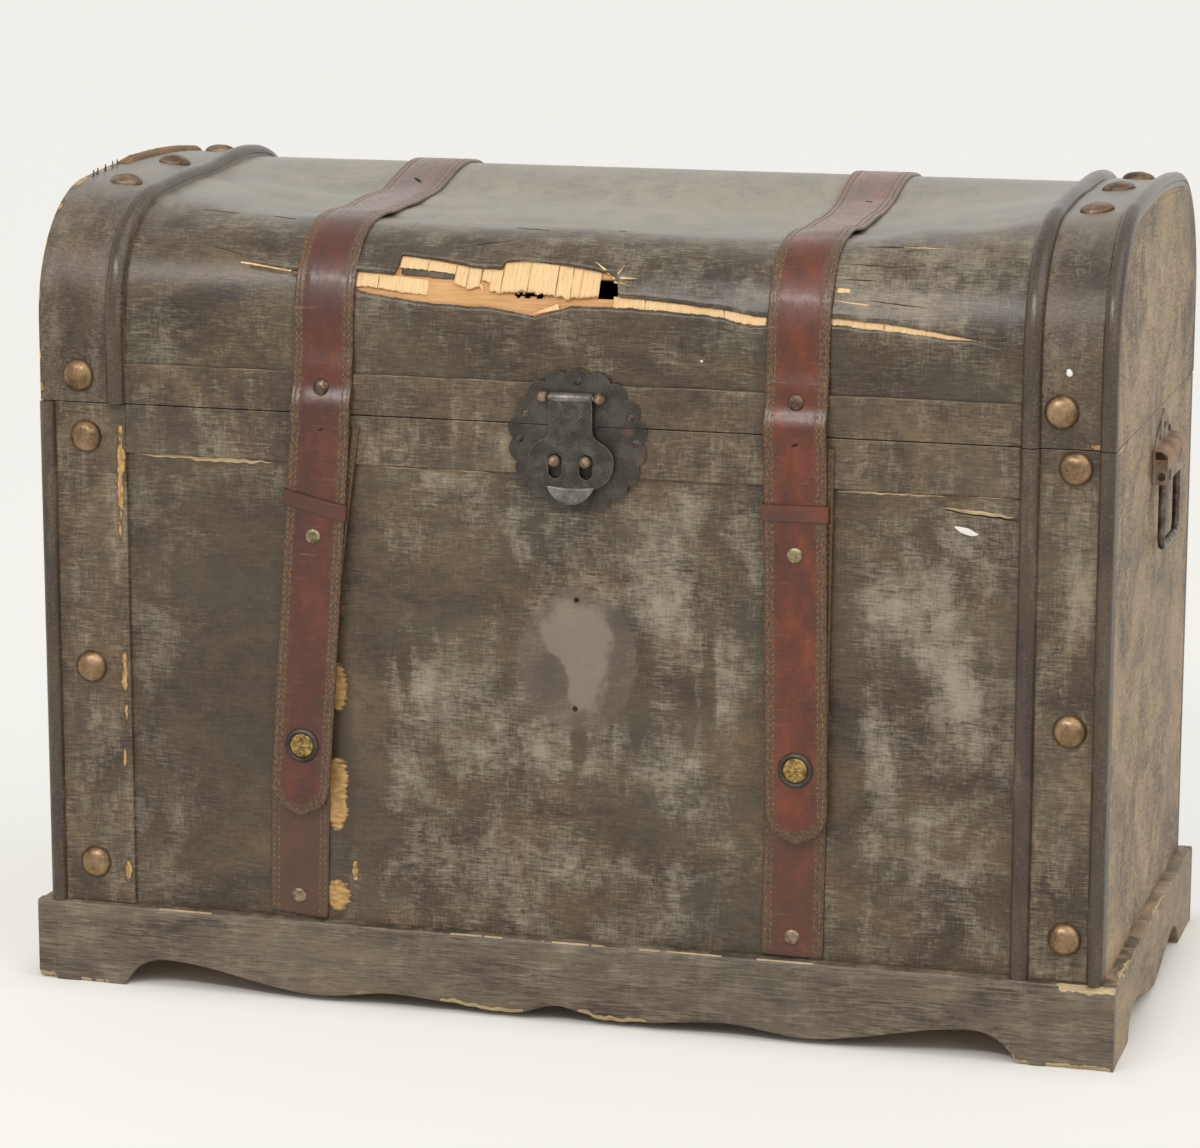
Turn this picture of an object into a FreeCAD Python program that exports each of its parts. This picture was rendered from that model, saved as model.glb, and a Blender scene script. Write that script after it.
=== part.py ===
"""Dome top trunk: a stained ply case on a scalloped skirt, with a hinged dome lid.

Frame: millimetres, +Z up from the floor, +X to the right of a person who faces the front,
+Y to the back. The origin is on the floor, under the middle of the case.
"""
import FreeCAD
import Part
import math
import os
import Sketcher

SIZES = {
    # case
    "case_width": 800,
    "case_depth": 380,
    "seam_height": 444,
    "seam_gap": 0.6,
    "panel_thickness": 9,
    "bottom_thickness": 9,
    "floor_height": 25,
    "corner_post_side": 18,
    "corner_post_drop": 12,
    "foot_block_side": 40,
    # scalloped skirt, rises measured from the floor and places from the middle of the board
    "skirt_height": 62,
    "skirt_thickness": 10,
    "foot_width": 70,
    "foot_cove": 32,
    "foot_arch_rise": 22,
    "outer_pendant_place": 185,
    "outer_pendant_rise": 5,
    "inner_arch_place": 127,
    "inner_arch_rise": 11,
    "inner_pendant_place": 37,
    "inner_pendant_rise": 4,
    "middle_cusp_rise": 13,
    # bands and beads on the front and the lid
    "band_thickness": 3,
    "corner_band_width": 67,
    "case_band_height": 36,
    "lid_band_height": 29.5,
    "inner_bead_width": 14,
    "outer_bead_width": 12,
    "bead_height": 6,
    # dome nails
    "nail_diameter": 24.5,
    "nail_rise": 7.5,
    "left_nail_inset": 36,
    "right_nail_inset": 28,
    "left_lid_nail_inset": 31,
    "right_lid_nail_inset": 39,
    "crown_nail_inset": 33,
    "nail_shank_diameter": 3,
    "nail_shank_length": 10,
    "left_top_nail_drop": 25,
    "right_top_nail_drop": 13,
    "middle_nail_height": 244,
    "bottom_nail_height": 93,
    "left_lid_nail_rise": 19.5,
    "right_lid_nail_rise": 25.5,
    "crown_nail_spacing": 98,
    # dome lid
    "lid_wall_height": 59,
    "shoulder_radius": 95,
    "crown_rise": 5,
    "skin_thickness": 5,
    "lid_end_thickness": 12,
    "lid_rail_height": 40,
    "lid_rail_thickness": 14,
    # sunk crown between the corner bands, places measured back from the front
    "sink_ridge_place": 25,
    "sink_knee_radius": 110,
    "sink_shelf_end": 180,
    "sink_left_depth": 21,
    "sink_right_depth": 24,
    # back hinges
    "hinge_inset": 138,
    "hinge_width": 66,
    "hinge_leaf_height": 32,
    "hinge_leaf_thickness": 1.6,
    "hinge_knuckle_radius": 3.6,
    "hinge_pin_radius": 1.6,
    "hinge_axis_stand_off": 3.9,
    "hinge_screw_spacing": 22,
    # round lock plate and hasp
    "lock_shift": 14,
    "hasp_shift": 10.5,
    "lock_drop": 11,
    "lock_disc_radius": 45,
    "lock_lobe_radius": 9,
    "lock_lobes": 18,
    "lock_plate_thickness": 1.5,
    "lock_brad_circle": 43,
    "hasp_thickness": 2,
    "hasp_pin_radius": 2,
    "hasp_barrel_radius": 3.7,
    "hasp_pin_rise": 20.5,
    "hasp_pin_half_span": 21,
    "hasp_neck_width": 32,
    "hasp_round_radius": 32,
    "hasp_reach": 44.5,
    "hasp_slot_radius": 5,
    "hasp_slot_run": 8,
    "post_spacing": 23,
    "post_drop": 25,
    "post_radius": 2,
    "post_length": 7.5,
    "ball_radius": 4.5,
    # straps, insets measured from the ends of the case and leans from upright
    "strap_width": 46,
    "strap_thickness": 3,
    "left_strap_inset": 222,
    "right_strap_inset": 226,
    "left_strap_lean": 3.9,
    "right_strap_lean": 0.8,
    "fold_rise": 6,
    "fold_gap": 0.3,
    "flap_stand_off": 7.4,
    "left_flap_length": 307,
    "right_flap_length": 300,
    "flap_tip_radius": 21,
    "lower_strap_thickness": 2.5,
    "lower_strap_drop": 7,
    "lower_strap_lift": 0.4,
    "lower_strap_flat": 30,
    "left_lower_lean": 4.7,
    "right_lower_lean": 0.7,
    "left_lower_shift": 7,
    "right_lower_shift": 5,
    "lower_rivet_rise": 16,
    "left_stud_rise": 14,
    "right_stud_rise": 18.5,
    "left_rivet_place": 96,
    "right_rivet_place": 90,
    "left_snap_inset": 53,
    "right_snap_inset": 54,
    "snap_cap_radius": 11,
    "snap_cap_height": 3,
    "snap_stud_radius": 4,
    "left_keeper_place": 67,
    "right_keeper_place": 54,
    "keeper_height": 12,
    "keeper_thickness": 1.2,
    "keeper_clearance": 0.35,
    # small nails and rivets
    "brad_diameter": 6,
    "brad_rise": 1.6,
    "brad_shank_diameter": 2,
    "brad_shank_length": 7,
    "stud_diameter": 12,
    "stud_rise": 3,
    # end handles
    "handle_top_gap": 3.4,
    "handle_setback": 28,
    "handle_hood_overhang": 2,
    "handle_hood_reach": 10,
    "handle_hood_rise": 20,
    "handle_hood_radius": 6,
    "handle_lip_height": 15,
    "handle_tongue_drop": 9,
    "handle_tongue_gap": 4,
    "handle_plate_drop": 6,
    "handle_leaf_rise": 44,
    "handle_sheet": 1.5,
    "handle_pivot_stand_off": 6.5,
    "handle_ear_gap": 1.5,
    "bail_width": 75,
    "bail_drop": 54,
    "bail_rod_radius": 2.75,
    "bail_corner_radius": 9,
    "bail_end_radius": 5,
    # fits
    "running_clearance": 0.05,
    "seat_gap": 0.3,
}

SIDES = (("left", -1), ("right", 1))
ENDS = (("front", -1), ("back", 1))
# Degrees round the lock plate's middle, from +X towards +Z
LOCK_BRAD_ANGLES = {"upper": (90, 155, 25), "lower": (270, 180, 0)}

doc = FreeCAD.newDocument("dome_top_trunk")
sheet = doc.addObject("Spreadsheet::Sheet", "Sizes")
for row, (alias, number) in enumerate(SIZES.items(), start=1):
    sheet.set(f"A{row}", alias)
    sheet.set(f"B{row}", str(number))
    sheet.setAlias(f"B{row}", alias)
doc.recompute()


class Size:
    """A size held both as a number and as the sheet expression that gives it."""

    def __init__(self, value, text):
        self.value = float(value)
        self.text = text

    def __add__(self, other):
        other = as_size(other)
        return Size(self.value + other.value, f"({self.text} + {other.text})")

    def __sub__(self, other):
        other = as_size(other)
        return Size(self.value - other.value, f"({self.text} - {other.text})")

    def __mul__(self, other):
        other = as_size(other)
        return Size(self.value * other.value, f"({self.text} * {other.text})")

    def __truediv__(self, other):
        other = as_size(other)
        return Size(self.value / other.value, f"({self.text} / {other.text})")

    def __neg__(self):
        return Size(-self.value, f"(0 - {self.text})")

    __radd__ = __add__
    __rmul__ = __mul__


def as_size(number):
    """A plain number as a size, and a size as it is."""
    if isinstance(number, Size):
        return number
    return Size(number, f"({number})")


def root(size):
    """Square root of a size."""
    return Size(math.sqrt(size.value), f"sqrt({size.text})")


def arc_sine(ratio):
    """Angle in degrees whose sine is a ratio of two sizes."""
    return Size(math.degrees(math.asin(ratio.value)), f"asin({ratio.text})")


def sine(angle):
    return Size(math.sin(math.radians(angle.value)), f"sin({angle.text})")


def cosine(angle):
    return Size(math.cos(math.radians(angle.value)), f"cos({angle.text})")


def sized(alias):
    """The size that the sheet holds under an alias."""
    return Size(sheet.get(alias), f"Sizes.{alias}")


class Trunk:
    """The driving sizes, by name, and the planes that many pieces share."""


d = Trunk()
for alias in SIZES:
    setattr(d, alias, sized(alias))
d.half_width = d.case_width / 2
d.front = -(d.case_depth / 2)
d.back = d.case_depth / 2
d.case_top = d.seam_height - d.seam_gap
d.bottom_top = d.floor_height + d.bottom_thickness
d.band_face = d.front - d.band_thickness
d.plate_face = d.band_face - d.lock_plate_thickness
d.handle_height = d.case_top - d.handle_top_gap - d.handle_leaf_rise
d.handle_ear = d.bail_width / 2 + d.bail_end_radius + d.handle_ear_gap
d.handle_hood_half = d.handle_ear + d.handle_hood_overhang


class Outline:
    """A closed or open run of lines and arcs whose corners are sizes."""

    def __init__(self, x, y):
        self.corners = [(as_size(x), as_size(y))]
        self.edges = []

    def line(self, x, y):
        self.corners.append((as_size(x), as_size(y)))
        self.edges.append(None)
        return self

    def arc(self, x, y, radius, turn):
        """An arc under a half circle; turn 1 runs anticlockwise and -1 clockwise."""
        self.corners.append((as_size(x), as_size(y)))
        self.edges.append((as_size(radius), turn))
        return self

    def wave(self, x, y):
        """An S of two equal arcs, level at both ends."""
        x0, y0 = self.corners[-1]
        x, y = as_size(x), as_size(y)
        along, up = x - x0, y - y0
        radius = (along * along + up * up) / (4 * up)
        turn = 1 if radius.value > 0 else -1
        if turn < 0:
            radius = -radius
        if along.value < 0:
            turn = -turn
        self.arc((x0 + x) / 2, (y0 + y) / 2, radius, turn)
        return self.arc(x, y, radius, -turn)

    def close(self):
        self.edges.append(None)
        return self


def origin_plane(body, role):
    """One of a body's own origin planes."""
    return next(plane for plane in body.Origin.OriginFeatures if plane.Role == role)


def new_sketch(body, name, role):
    """An empty sketch on an origin plane of its body."""
    sketch = body.newObject("Sketcher::SketchObject", name)
    sketch.AttachmentSupport = [(origin_plane(body, role), "")]
    sketch.MapMode = "FlatFace"
    return sketch


def hold(sketch, kind, *reference, size):
    """One driving constraint bound to the sheet."""
    index = sketch.addConstraint(Sketcher.Constraint(kind, *reference, size.value))
    sketch.setExpression(f"Constraints[{index}]", size.text)


def hold_point(sketch, geometry, point, corner):
    """Fix a point of a sketch at a corner given by two sizes."""
    hold(sketch, "DistanceX", -1, 1, geometry, point, size=corner[0])
    hold(sketch, "DistanceY", -1, 1, geometry, point, size=corner[1])


def vector(corner):
    return FreeCAD.Vector(corner[0].value, corner[1].value, 0)


def arc_geometry(start, end, radius, turn):
    """The arc between two points, on the side that its turn gives."""
    chord = end - start
    left = FreeCAD.Vector(-chord.y, chord.x, 0).normalize()
    inward = math.sqrt(max(radius * radius - chord.Length ** 2 / 4, 0))
    center = (start + end) / 2 + left * (turn * inward)
    angles = [math.atan2((p - center).y, (p - center).x) for p in (start, end)]
    if turn < 0:
        angles.reverse()
    circle = Part.Circle(center, FreeCAD.Vector(0, 0, 1), radius)
    return Part.ArcOfCircle(circle, angles[0], angles[1])


def draw(sketch, outline):
    """Draw an outline with every corner and radius bound to the sheet."""
    count = len(outline.corners)
    ends = []
    for number, edge in enumerate(outline.edges):
        start = outline.corners[number]
        end = outline.corners[(number + 1) % count]
        if edge is None:
            index = sketch.addGeometry(Part.LineSegment(vector(start), vector(end)))
            ends.append((index, 1, 2))
            continue
        radius, turn = edge
        index = sketch.addGeometry(arc_geometry(vector(start), vector(end), radius.value, turn))
        ends.append((index, 1, 2) if turn > 0 else (index, 2, 1))
    for number, (index, first, last) in enumerate(ends):
        hold_point(sketch, index, first, outline.corners[number])
        follows = ends[(number + 1) % len(ends)]
        if len(ends) == count or number + 1 < len(ends):
            sketch.addConstraint(Sketcher.Constraint("Coincident", index, last, follows[0], follows[1]))
        else:
            hold_point(sketch, index, last, outline.corners[-1])
        if outline.edges[number] is not None:
            hold(sketch, "Radius", index, size=outline.edges[number][0])


def draw_circle(sketch, x, y, radius):
    """Draw a circle with its centre and radius bound to the sheet."""
    corner = (as_size(x), as_size(y))
    circle = Part.Circle(vector(corner), FreeCAD.Vector(0, 0, 1), radius.value)
    index = sketch.addGeometry(circle)
    hold_point(sketch, index, 3, corner)
    hold(sketch, "Radius", index, size=radius)


def new_body(name):
    return doc.addObject("PartDesign::Body", name)


def place(thing, x=0, y=0, z=0, axis=(0, 0, 1), angle=0):
    """Set a piece in its place, with every coordinate bound to the sheet."""
    angle = as_size(angle)
    turn = FreeCAD.Rotation(FreeCAD.Vector(*axis), angle.value)
    thing.Placement = FreeCAD.Placement(FreeCAD.Vector(), turn)
    for letter, size in zip("xyz", (x, y, z)):
        thing.setExpression(f"Placement.Base.{letter}", as_size(size).text)
    if "Sizes" in angle.text:
        thing.setExpression("Placement.Rotation.Angle", angle.text)
    return thing


def pad(body, sketch, length, reverse=False):
    feature = body.newObject("PartDesign::Pad", sketch.Name + "_pad")
    feature.Profile = sketch
    feature.setExpression("Length", length.text)
    feature.Reversed = reverse
    return feature


def padded(name, role, outline, length, reverse=False, both_ways=False):
    """A body made of one outline padded to a thickness."""
    body = new_body(name)
    sketch = new_sketch(body, name + "_outline", role)
    draw(sketch, outline)
    feature = pad(body, sketch, length, reverse)
    if both_ways:
        feature.SideType = "Symmetric"
    return body


def pocket_all(body, sketch, reverse=False):
    feature = body.newObject("PartDesign::Pocket", sketch.Name + "_pocket")
    feature.Profile = sketch
    feature.Type = "ThroughAll"
    feature.Reversed = reverse
    return feature


def box(name, x, y, z, length, width, height):
    """A board with one corner at x, y, z."""
    board = doc.addObject("Part::Box", name)
    board.setExpression("Length", as_size(length).text)
    board.setExpression("Width", as_size(width).text)
    board.setExpression("Height", as_size(height).text)
    return place(board, x, y, z)


def cylinder(name, radius, height):
    rod = doc.addObject("Part::Cylinder", name)
    rod.setExpression("Radius", radius.text)
    rod.setExpression("Height", height.text)
    return rod


def fuse(name, pieces):
    joined = doc.addObject("Part::MultiFuse", name)
    joined.Shapes = pieces
    return joined


def cut(name, base, tool):
    result = doc.addObject("Part::Cut", name)
    result.Base = base
    result.Tool = tool
    return result


def group(name, pieces):
    """Separate solids that share one node."""
    together = doc.addObject("Part::Compound", name)
    together.Links = pieces
    return together


def dome_nail(name, diameter, rise, shank_diameter, shank_length):
    """A domed head on a shank, along +Z with the head's flat at the origin."""
    half = diameter / 2
    radius = (half * half + rise * rise) / (2 * rise)
    head = doc.addObject("Part::Sphere", name + "_head")
    head.setExpression("Radius", radius.text)
    head.setExpression("Angle1", arc_sine((radius - rise) / radius).text)
    place(head, z=rise - radius)
    shank = cylinder(name + "_shank", shank_diameter / 2, shank_length + rise / 2)
    place(shank, z=-shank_length)
    return fuse(name, [head, shank])


def big_nail(name):
    return dome_nail(name, d.nail_diameter, d.nail_rise, d.nail_shank_diameter, d.nail_shank_length)


def brad(name):
    return dome_nail(name, d.brad_diameter, d.brad_rise, d.brad_shank_diameter, d.brad_shank_length)


def stud(name, shank_length):
    return dome_nail(name, d.stud_diameter, d.stud_rise, d.nail_shank_diameter, shank_length)


def facing_front(thing, x, y, z):
    """Turn a piece made along +Z to look out of the front."""
    return place(thing, x, y, z, axis=(1, 0, 0), angle=90)


def facing_back(thing, x, y, z):
    """Turn a piece made along +Z to look out of the back."""
    return place(thing, x, y, z, axis=(1, 0, 0), angle=-90)


# Lid profile: a wall, a shoulder arc, a crown arc, a shoulder arc and a wall
half_flat = d.case_depth / 2 - d.shoulder_radius
crown_center_drop = (half_flat * half_flat + d.crown_rise * d.crown_rise) / (2 * d.crown_rise)
crown_radius = crown_center_drop + d.shoulder_radius
shoulder_height = d.seam_height + d.lid_wall_height
crown_top = shoulder_height + d.shoulder_radius + d.crown_rise


def tangent_point(side, offset):
    """Where the shoulder arc meets the crown, at an offset from the skin's outer face."""
    reach = (d.shoulder_radius + offset) / crown_center_drop
    y = side * (half_flat + half_flat * reach)
    z = shoulder_height + (crown_center_drop - d.crown_rise) * reach
    return y, z


def over_the_dome(offset, front_foot, back_foot):
    """The lid's profile from the front foot to the back foot, at an offset from the skin."""
    shoulder = d.shoulder_radius + offset
    path = Outline(d.front - offset, front_foot)
    path.line(d.front - offset, shoulder_height)
    path.arc(*tangent_point(-1, offset), shoulder, -1)
    path.arc(*tangent_point(1, offset), crown_radius + offset, -1)
    path.arc(d.back + offset, shoulder_height, shoulder, -1)
    path.line(d.back + offset, back_foot)
    return path


def back_over_the_dome(path, offset):
    """The same profile from back to front, added to a run that ends at the back."""
    shoulder = d.shoulder_radius + offset
    path.line(d.back + offset, shoulder_height)
    path.arc(*tangent_point(1, offset), shoulder, 1)
    path.arc(*tangent_point(-1, offset), crown_radius + offset, 1)
    path.arc(d.front - offset, shoulder_height, shoulder, 1)
    return path


def dome_sheet(inner, outer):
    """Outline of a sheet bent over the dome between two offsets from the skin's outer face."""
    path = over_the_dome(outer, d.seam_height, d.seam_height)
    path.line(d.back + inner, d.seam_height)
    back_over_the_dome(path, inner)
    path.line(d.front - inner, d.seam_height)
    return path.close()


def crown_point(y, offset, drop):
    """A point of the crown arc at an offset from the skin, let down by a drop."""
    share = (crown_radius + offset) / crown_radius
    rise = root(crown_radius * crown_radius - y * y)
    return y * share, crown_top - crown_radius + rise * share - drop


def level_bend(low, high):
    """Radius of the arc between two points that is level at one of them."""
    along, up = high[0] - low[0], high[1] - low[1]
    return (along * along + up * up) / (2 * up)


def sunk_crown(offset, depth):
    """The crown from wall to wall, at an offset from the skin.

    Behind a ridge on the front shoulder it has sunk to a shelf, which rises again to the back shoulder.
    """
    shoulder = d.shoulder_radius + offset
    reach = (d.shoulder_radius - d.sink_ridge_place) * shoulder / d.shoulder_radius
    shelf_y = d.front + d.sink_shelf_end
    rise_y = (shelf_y + tangent_point(1, as_size(0))[0]) / 2
    front_y, front_z = tangent_point(-1, offset)
    shelf = crown_point(shelf_y, offset, depth)
    rise = crown_point(rise_y, offset, depth / 2)
    back = tangent_point(1, offset)
    path = Outline(d.front - offset, shoulder_height)
    path.arc(-half_flat - reach, shoulder_height + root(shoulder * shoulder - reach * reach), shoulder, -1)
    if depth.value:
        path.arc(front_y, front_z - depth, d.sink_knee_radius + offset, -1)
        path.arc(*shelf, crown_radius + offset, -1)
        path.arc(*rise, level_bend(shelf, rise), 1)
        path.arc(*back, level_bend(rise, back), -1)
    else:
        path.arc(front_y, front_z, shoulder, -1)
        path.arc(*shelf, crown_radius + offset, -1)
        path.arc(*rise, crown_radius + offset, -1)
        path.arc(*back, crown_radius + offset, -1)
    return path.arc(d.back + offset, shoulder_height, shoulder, -1)


def crown_sheet(inner, outer, depth):
    """Outline of a sheet over the crown between two offsets from the skin's outer face."""
    path = sunk_crown(outer, depth)
    under = sunk_crown(inner, depth)
    path.line(*under.corners[-1])
    for corner, (radius, turn) in zip(under.corners[-2::-1], under.edges[::-1]):
        path.arc(*corner, radius, -turn)
    return path.close()


def crown_loft(name, inner, outer, stations):
    """A sheet over the crown through its outlines at places along X, each with its depth."""
    body = new_body(name)
    outlines = []
    for number, (x, depth) in enumerate(stations):
        sketch = new_sketch(body, f"{name}_outline_{number}", "YZ_Plane")
        sketch.setExpression("AttachmentOffset.Base.z", x.text)
        draw(sketch, crown_sheet(inner, outer, depth))
        outlines.append(sketch)
    loft = body.newObject("PartDesign::AdditiveLoft", name + "_loft")
    loft.Profile = outlines[0]
    loft.Sections = outlines[1:]
    loft.Ruled = True
    return body


def strap_places():
    """Middle of each strap across the trunk."""
    return d.left_strap_inset - d.half_width, d.half_width - d.right_strap_inset


def sink_stations():
    """Outer edges of the two straps, where the crown's two depths are set."""
    left, right = strap_places()
    return left - d.strap_width / 2, right + d.strap_width / 2


def sink_depth(x):
    """Depth of the sunk crown between its two stations."""
    left, right = sink_stations()
    return d.sink_left_depth + (d.sink_right_depth - d.sink_left_depth) * (x - left) / (right - left)


def of_side(end, what):
    """A size that the left and the right side each have for themselves."""
    return getattr(d, f"{end}_{what}")


nodes = []


def node(thing, name):
    """Give a finished piece the name of its file."""
    thing.Label = name
    nodes.append(thing)
    return thing


def build_case_box():
    """Bottom board, four panels, corner posts and foot blocks."""
    wall = d.panel_thickness
    inner_width = d.case_width - 2 * wall
    inner_depth = d.case_depth - 2 * wall
    wall_height = d.case_top - d.floor_height
    left_inner = wall - d.half_width
    node(box("bottom_board", left_inner, d.front + wall, d.floor_height,
             inner_width, inner_depth, d.bottom_thickness), "bottom_board")
    for end, side in ENDS:
        y = d.front if side < 0 else d.back - wall
        panel = box(f"{end}_panel", -d.half_width, y, d.floor_height, d.case_width, wall, wall_height)
        node(panel, f"{end}_panel")
    for end, side in SIDES:
        x = -d.half_width if side < 0 else d.half_width - wall
        panel = box(f"end_panel_{end}", x, d.front + wall, d.floor_height, wall, inner_depth, wall_height)
        node(panel, f"end_panel_{end}")
    blocks = []
    post = d.corner_post_side
    post_height = d.case_top - d.corner_post_drop - d.bottom_top
    foot = d.foot_block_side
    for end, x_side in SIDES:
        for face, y_side in ENDS:
            post_x = left_inner if x_side < 0 else d.half_width - wall - post
            post_y = d.front + wall if y_side < 0 else d.back - wall - post
            blocks.append(box(f"post_{end}_{face}", post_x, post_y, d.bottom_top, post, post, post_height))
            foot_x = -d.half_width if x_side < 0 else d.half_width - foot
            foot_y = d.front if y_side < 0 else d.back - foot
            blocks.append(box(f"foot_{end}_{face}", foot_x, foot_y, 0, foot, foot, d.floor_height))
    node(group("corner_blocks", blocks), "corner_blocks")


def skirt_edge(path, half, foot, scallops):
    """The lower edge of a skirt board, from its left foot to its right foot."""
    cove = (d.foot_cove * d.foot_cove + d.foot_arch_rise * d.foot_arch_rise) / (2 * d.foot_arch_rise)
    toe = half - foot
    path.line(-half, 0)
    path.line(-toe, 0)
    path.arc(d.foot_cove - toe, d.foot_arch_rise, cove, -1)
    for x, rise in scallops:
        path.wave(x, rise)
    path.wave(toe - d.foot_cove, d.foot_arch_rise)
    path.arc(toe, 0, cove, -1)
    path.line(half, 0)
    return path


def build_skirt():
    """Four scalloped boards that stand proud of the case."""
    wave_in = [(d.outer_pendant_place, d.outer_pendant_rise), (d.inner_arch_place, d.inner_arch_rise),
               (d.inner_pendant_place, d.inner_pendant_rise)]
    long_wave = [(-x, rise) for x, rise in wave_in] + [(as_size(0), d.middle_cusp_rise)] + wave_in[::-1]
    short_wave = [(as_size(0), d.outer_pendant_rise)]
    half = d.half_width + d.skirt_thickness
    for end, side in ENDS:
        path = skirt_edge(Outline(-half, d.skirt_height), half, d.foot_width, long_wave)
        path.line(half, d.skirt_height).close()
        board = padded(f"skirt_{end}", "XZ_Plane", path, d.skirt_thickness)
        place(board, y=d.front if side < 0 else d.back + d.skirt_thickness)
        node(board, f"skirt_{end}")
    half = d.case_depth / 2
    for end, side in SIDES:
        path = skirt_edge(Outline(-half, d.skirt_height), half, d.foot_width - d.skirt_thickness, short_wave)
        path.line(half, d.skirt_height).close()
        board = padded(f"skirt_{end}", "YZ_Plane", path, d.skirt_thickness)
        place(board, x=d.half_width if side > 0 else -d.half_width - d.skirt_thickness)
        node(board, f"skirt_{end}")


def bead_section(width):
    """A half-round bead across X, with its flat on the band and its back to the front."""
    half = width / 2
    radius = (half * half + d.bead_height * d.bead_height) / (2 * d.bead_height)
    path = Outline(-half, 0)
    path.arc(0, -d.bead_height, radius, 1)
    path.arc(half, 0, radius, 1)
    return path.close()


def bead_places():
    """Middle of each bead from the middle of the trunk, with its width."""
    inner = d.half_width - d.corner_band_width + d.inner_bead_width / 2
    outer = d.half_width - d.outer_bead_width / 2
    return {"inner": (inner, d.inner_bead_width), "outer": (outer, d.outer_bead_width)}


def build_case_trim():
    """Rim band, corner bands, upright beads and dome nails on the front."""
    middle_width = d.case_width - 2 * d.corner_band_width
    node(box("case_band", -(middle_width / 2), d.band_face, d.case_top - d.case_band_height,
             middle_width, d.band_thickness, d.case_band_height), "case_band")
    height = d.case_top - d.skirt_height
    for end, side in SIDES:
        x = -d.half_width if side < 0 else d.half_width - d.corner_band_width
        band = box(f"corner_band_{end}", x, d.band_face, d.skirt_height,
                   d.corner_band_width, d.band_thickness, height)
        node(band, f"corner_band_{end}")
    places = bead_places()
    for kind, end, side in (("outer", "left", -1), ("outer", "right", 1), ("inner", "right", 1)):
        middle, width = places[kind]
        name = f"case_bead_{kind}_{end}"
        bead = padded(name, "XY_Plane", bead_section(width), height)
        node(place(bead, side * middle, d.band_face, d.skirt_height), name)
    nails = []
    for end, side in SIDES:
        x = side * (d.half_width - of_side(end, "nail_inset"))
        top = d.case_top - of_side(end, "top_nail_drop")
        for number, z in enumerate((top, d.middle_nail_height, d.bottom_nail_height)):
            nail = big_nail(f"case_nail_{end}_{number}")
            nails.append(facing_front(nail, x, d.band_face, z))
    node(group("case_dome_nails", nails), "case_dome_nails")


def build_lid_shell():
    """Bent skin, D-shaped end boards and the rails inside the lid's edge."""
    flush, plain = as_size(0), as_size(0)
    left, right = sink_stations()
    band_edge = d.half_width - d.corner_band_width
    stations = ((-band_edge, plain), (left, d.sink_left_depth),
                (right, d.sink_right_depth), (band_edge, plain))
    skin = [crown_loft("sunk_crown", -d.skin_thickness, flush, stations)]
    for end, side in SIDES:
        crown = padded(f"crown_{end}", "YZ_Plane", crown_sheet(-d.skin_thickness, flush, plain),
                       d.corner_band_width)
        skin.append(place(crown, x=-d.half_width if side < 0 else band_edge))
    for end, y in (("front", d.front), ("back", d.back - d.skin_thickness)):
        skin.append(box(f"dome_wall_{end}", -d.half_width, y, d.seam_height,
                        d.case_width, d.skin_thickness, d.lid_wall_height))
    node(fuse("dome_skin", skin), "dome_skin")
    for end, side in SIDES:
        path = over_the_dome(-d.skin_thickness, d.seam_height, d.seam_height).close()
        board = padded(f"lid_end_{end}", "YZ_Plane", path, d.lid_end_thickness)
        place(board, x=-d.half_width if side < 0 else d.half_width - d.lid_end_thickness)
        node(board, f"lid_end_{end}")
    rails = []
    length = d.case_width - 2 * d.lid_end_thickness
    for end, side in ENDS:
        y = d.front + d.skin_thickness if side < 0 else d.back - d.skin_thickness - d.lid_rail_thickness
        rails.append(box(f"lid_rail_{end}", d.lid_end_thickness - d.half_width, y, d.seam_height,
                         length, d.lid_rail_thickness, d.lid_rail_height))
    node(group("lid_rails", rails), "lid_rails")


def bent_bead(name, width, x):
    """A half-round bead bent over the corner band of the lid."""
    body = new_body(name)
    section = new_sketch(body, name + "_section", "XY_Plane")
    path = bead_section(width)
    path.corners = [(u, v + d.band_face) for u, v in path.corners]
    draw(section, path)
    spine = new_sketch(body, name + "_spine", "YZ_Plane")
    local = over_the_dome(d.band_thickness, d.seam_height, d.seam_height)
    local.corners = [(y, z - d.seam_height) for y, z in local.corners]
    draw(spine, local)
    sweep = body.newObject("PartDesign::AdditivePipe", name + "_sweep")
    sweep.Profile = section
    sweep.Spine = (spine, [f"Edge{number + 1}" for number in range(len(local.edges))])
    return node(place(body, x=x, z=d.seam_height), name)


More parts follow.
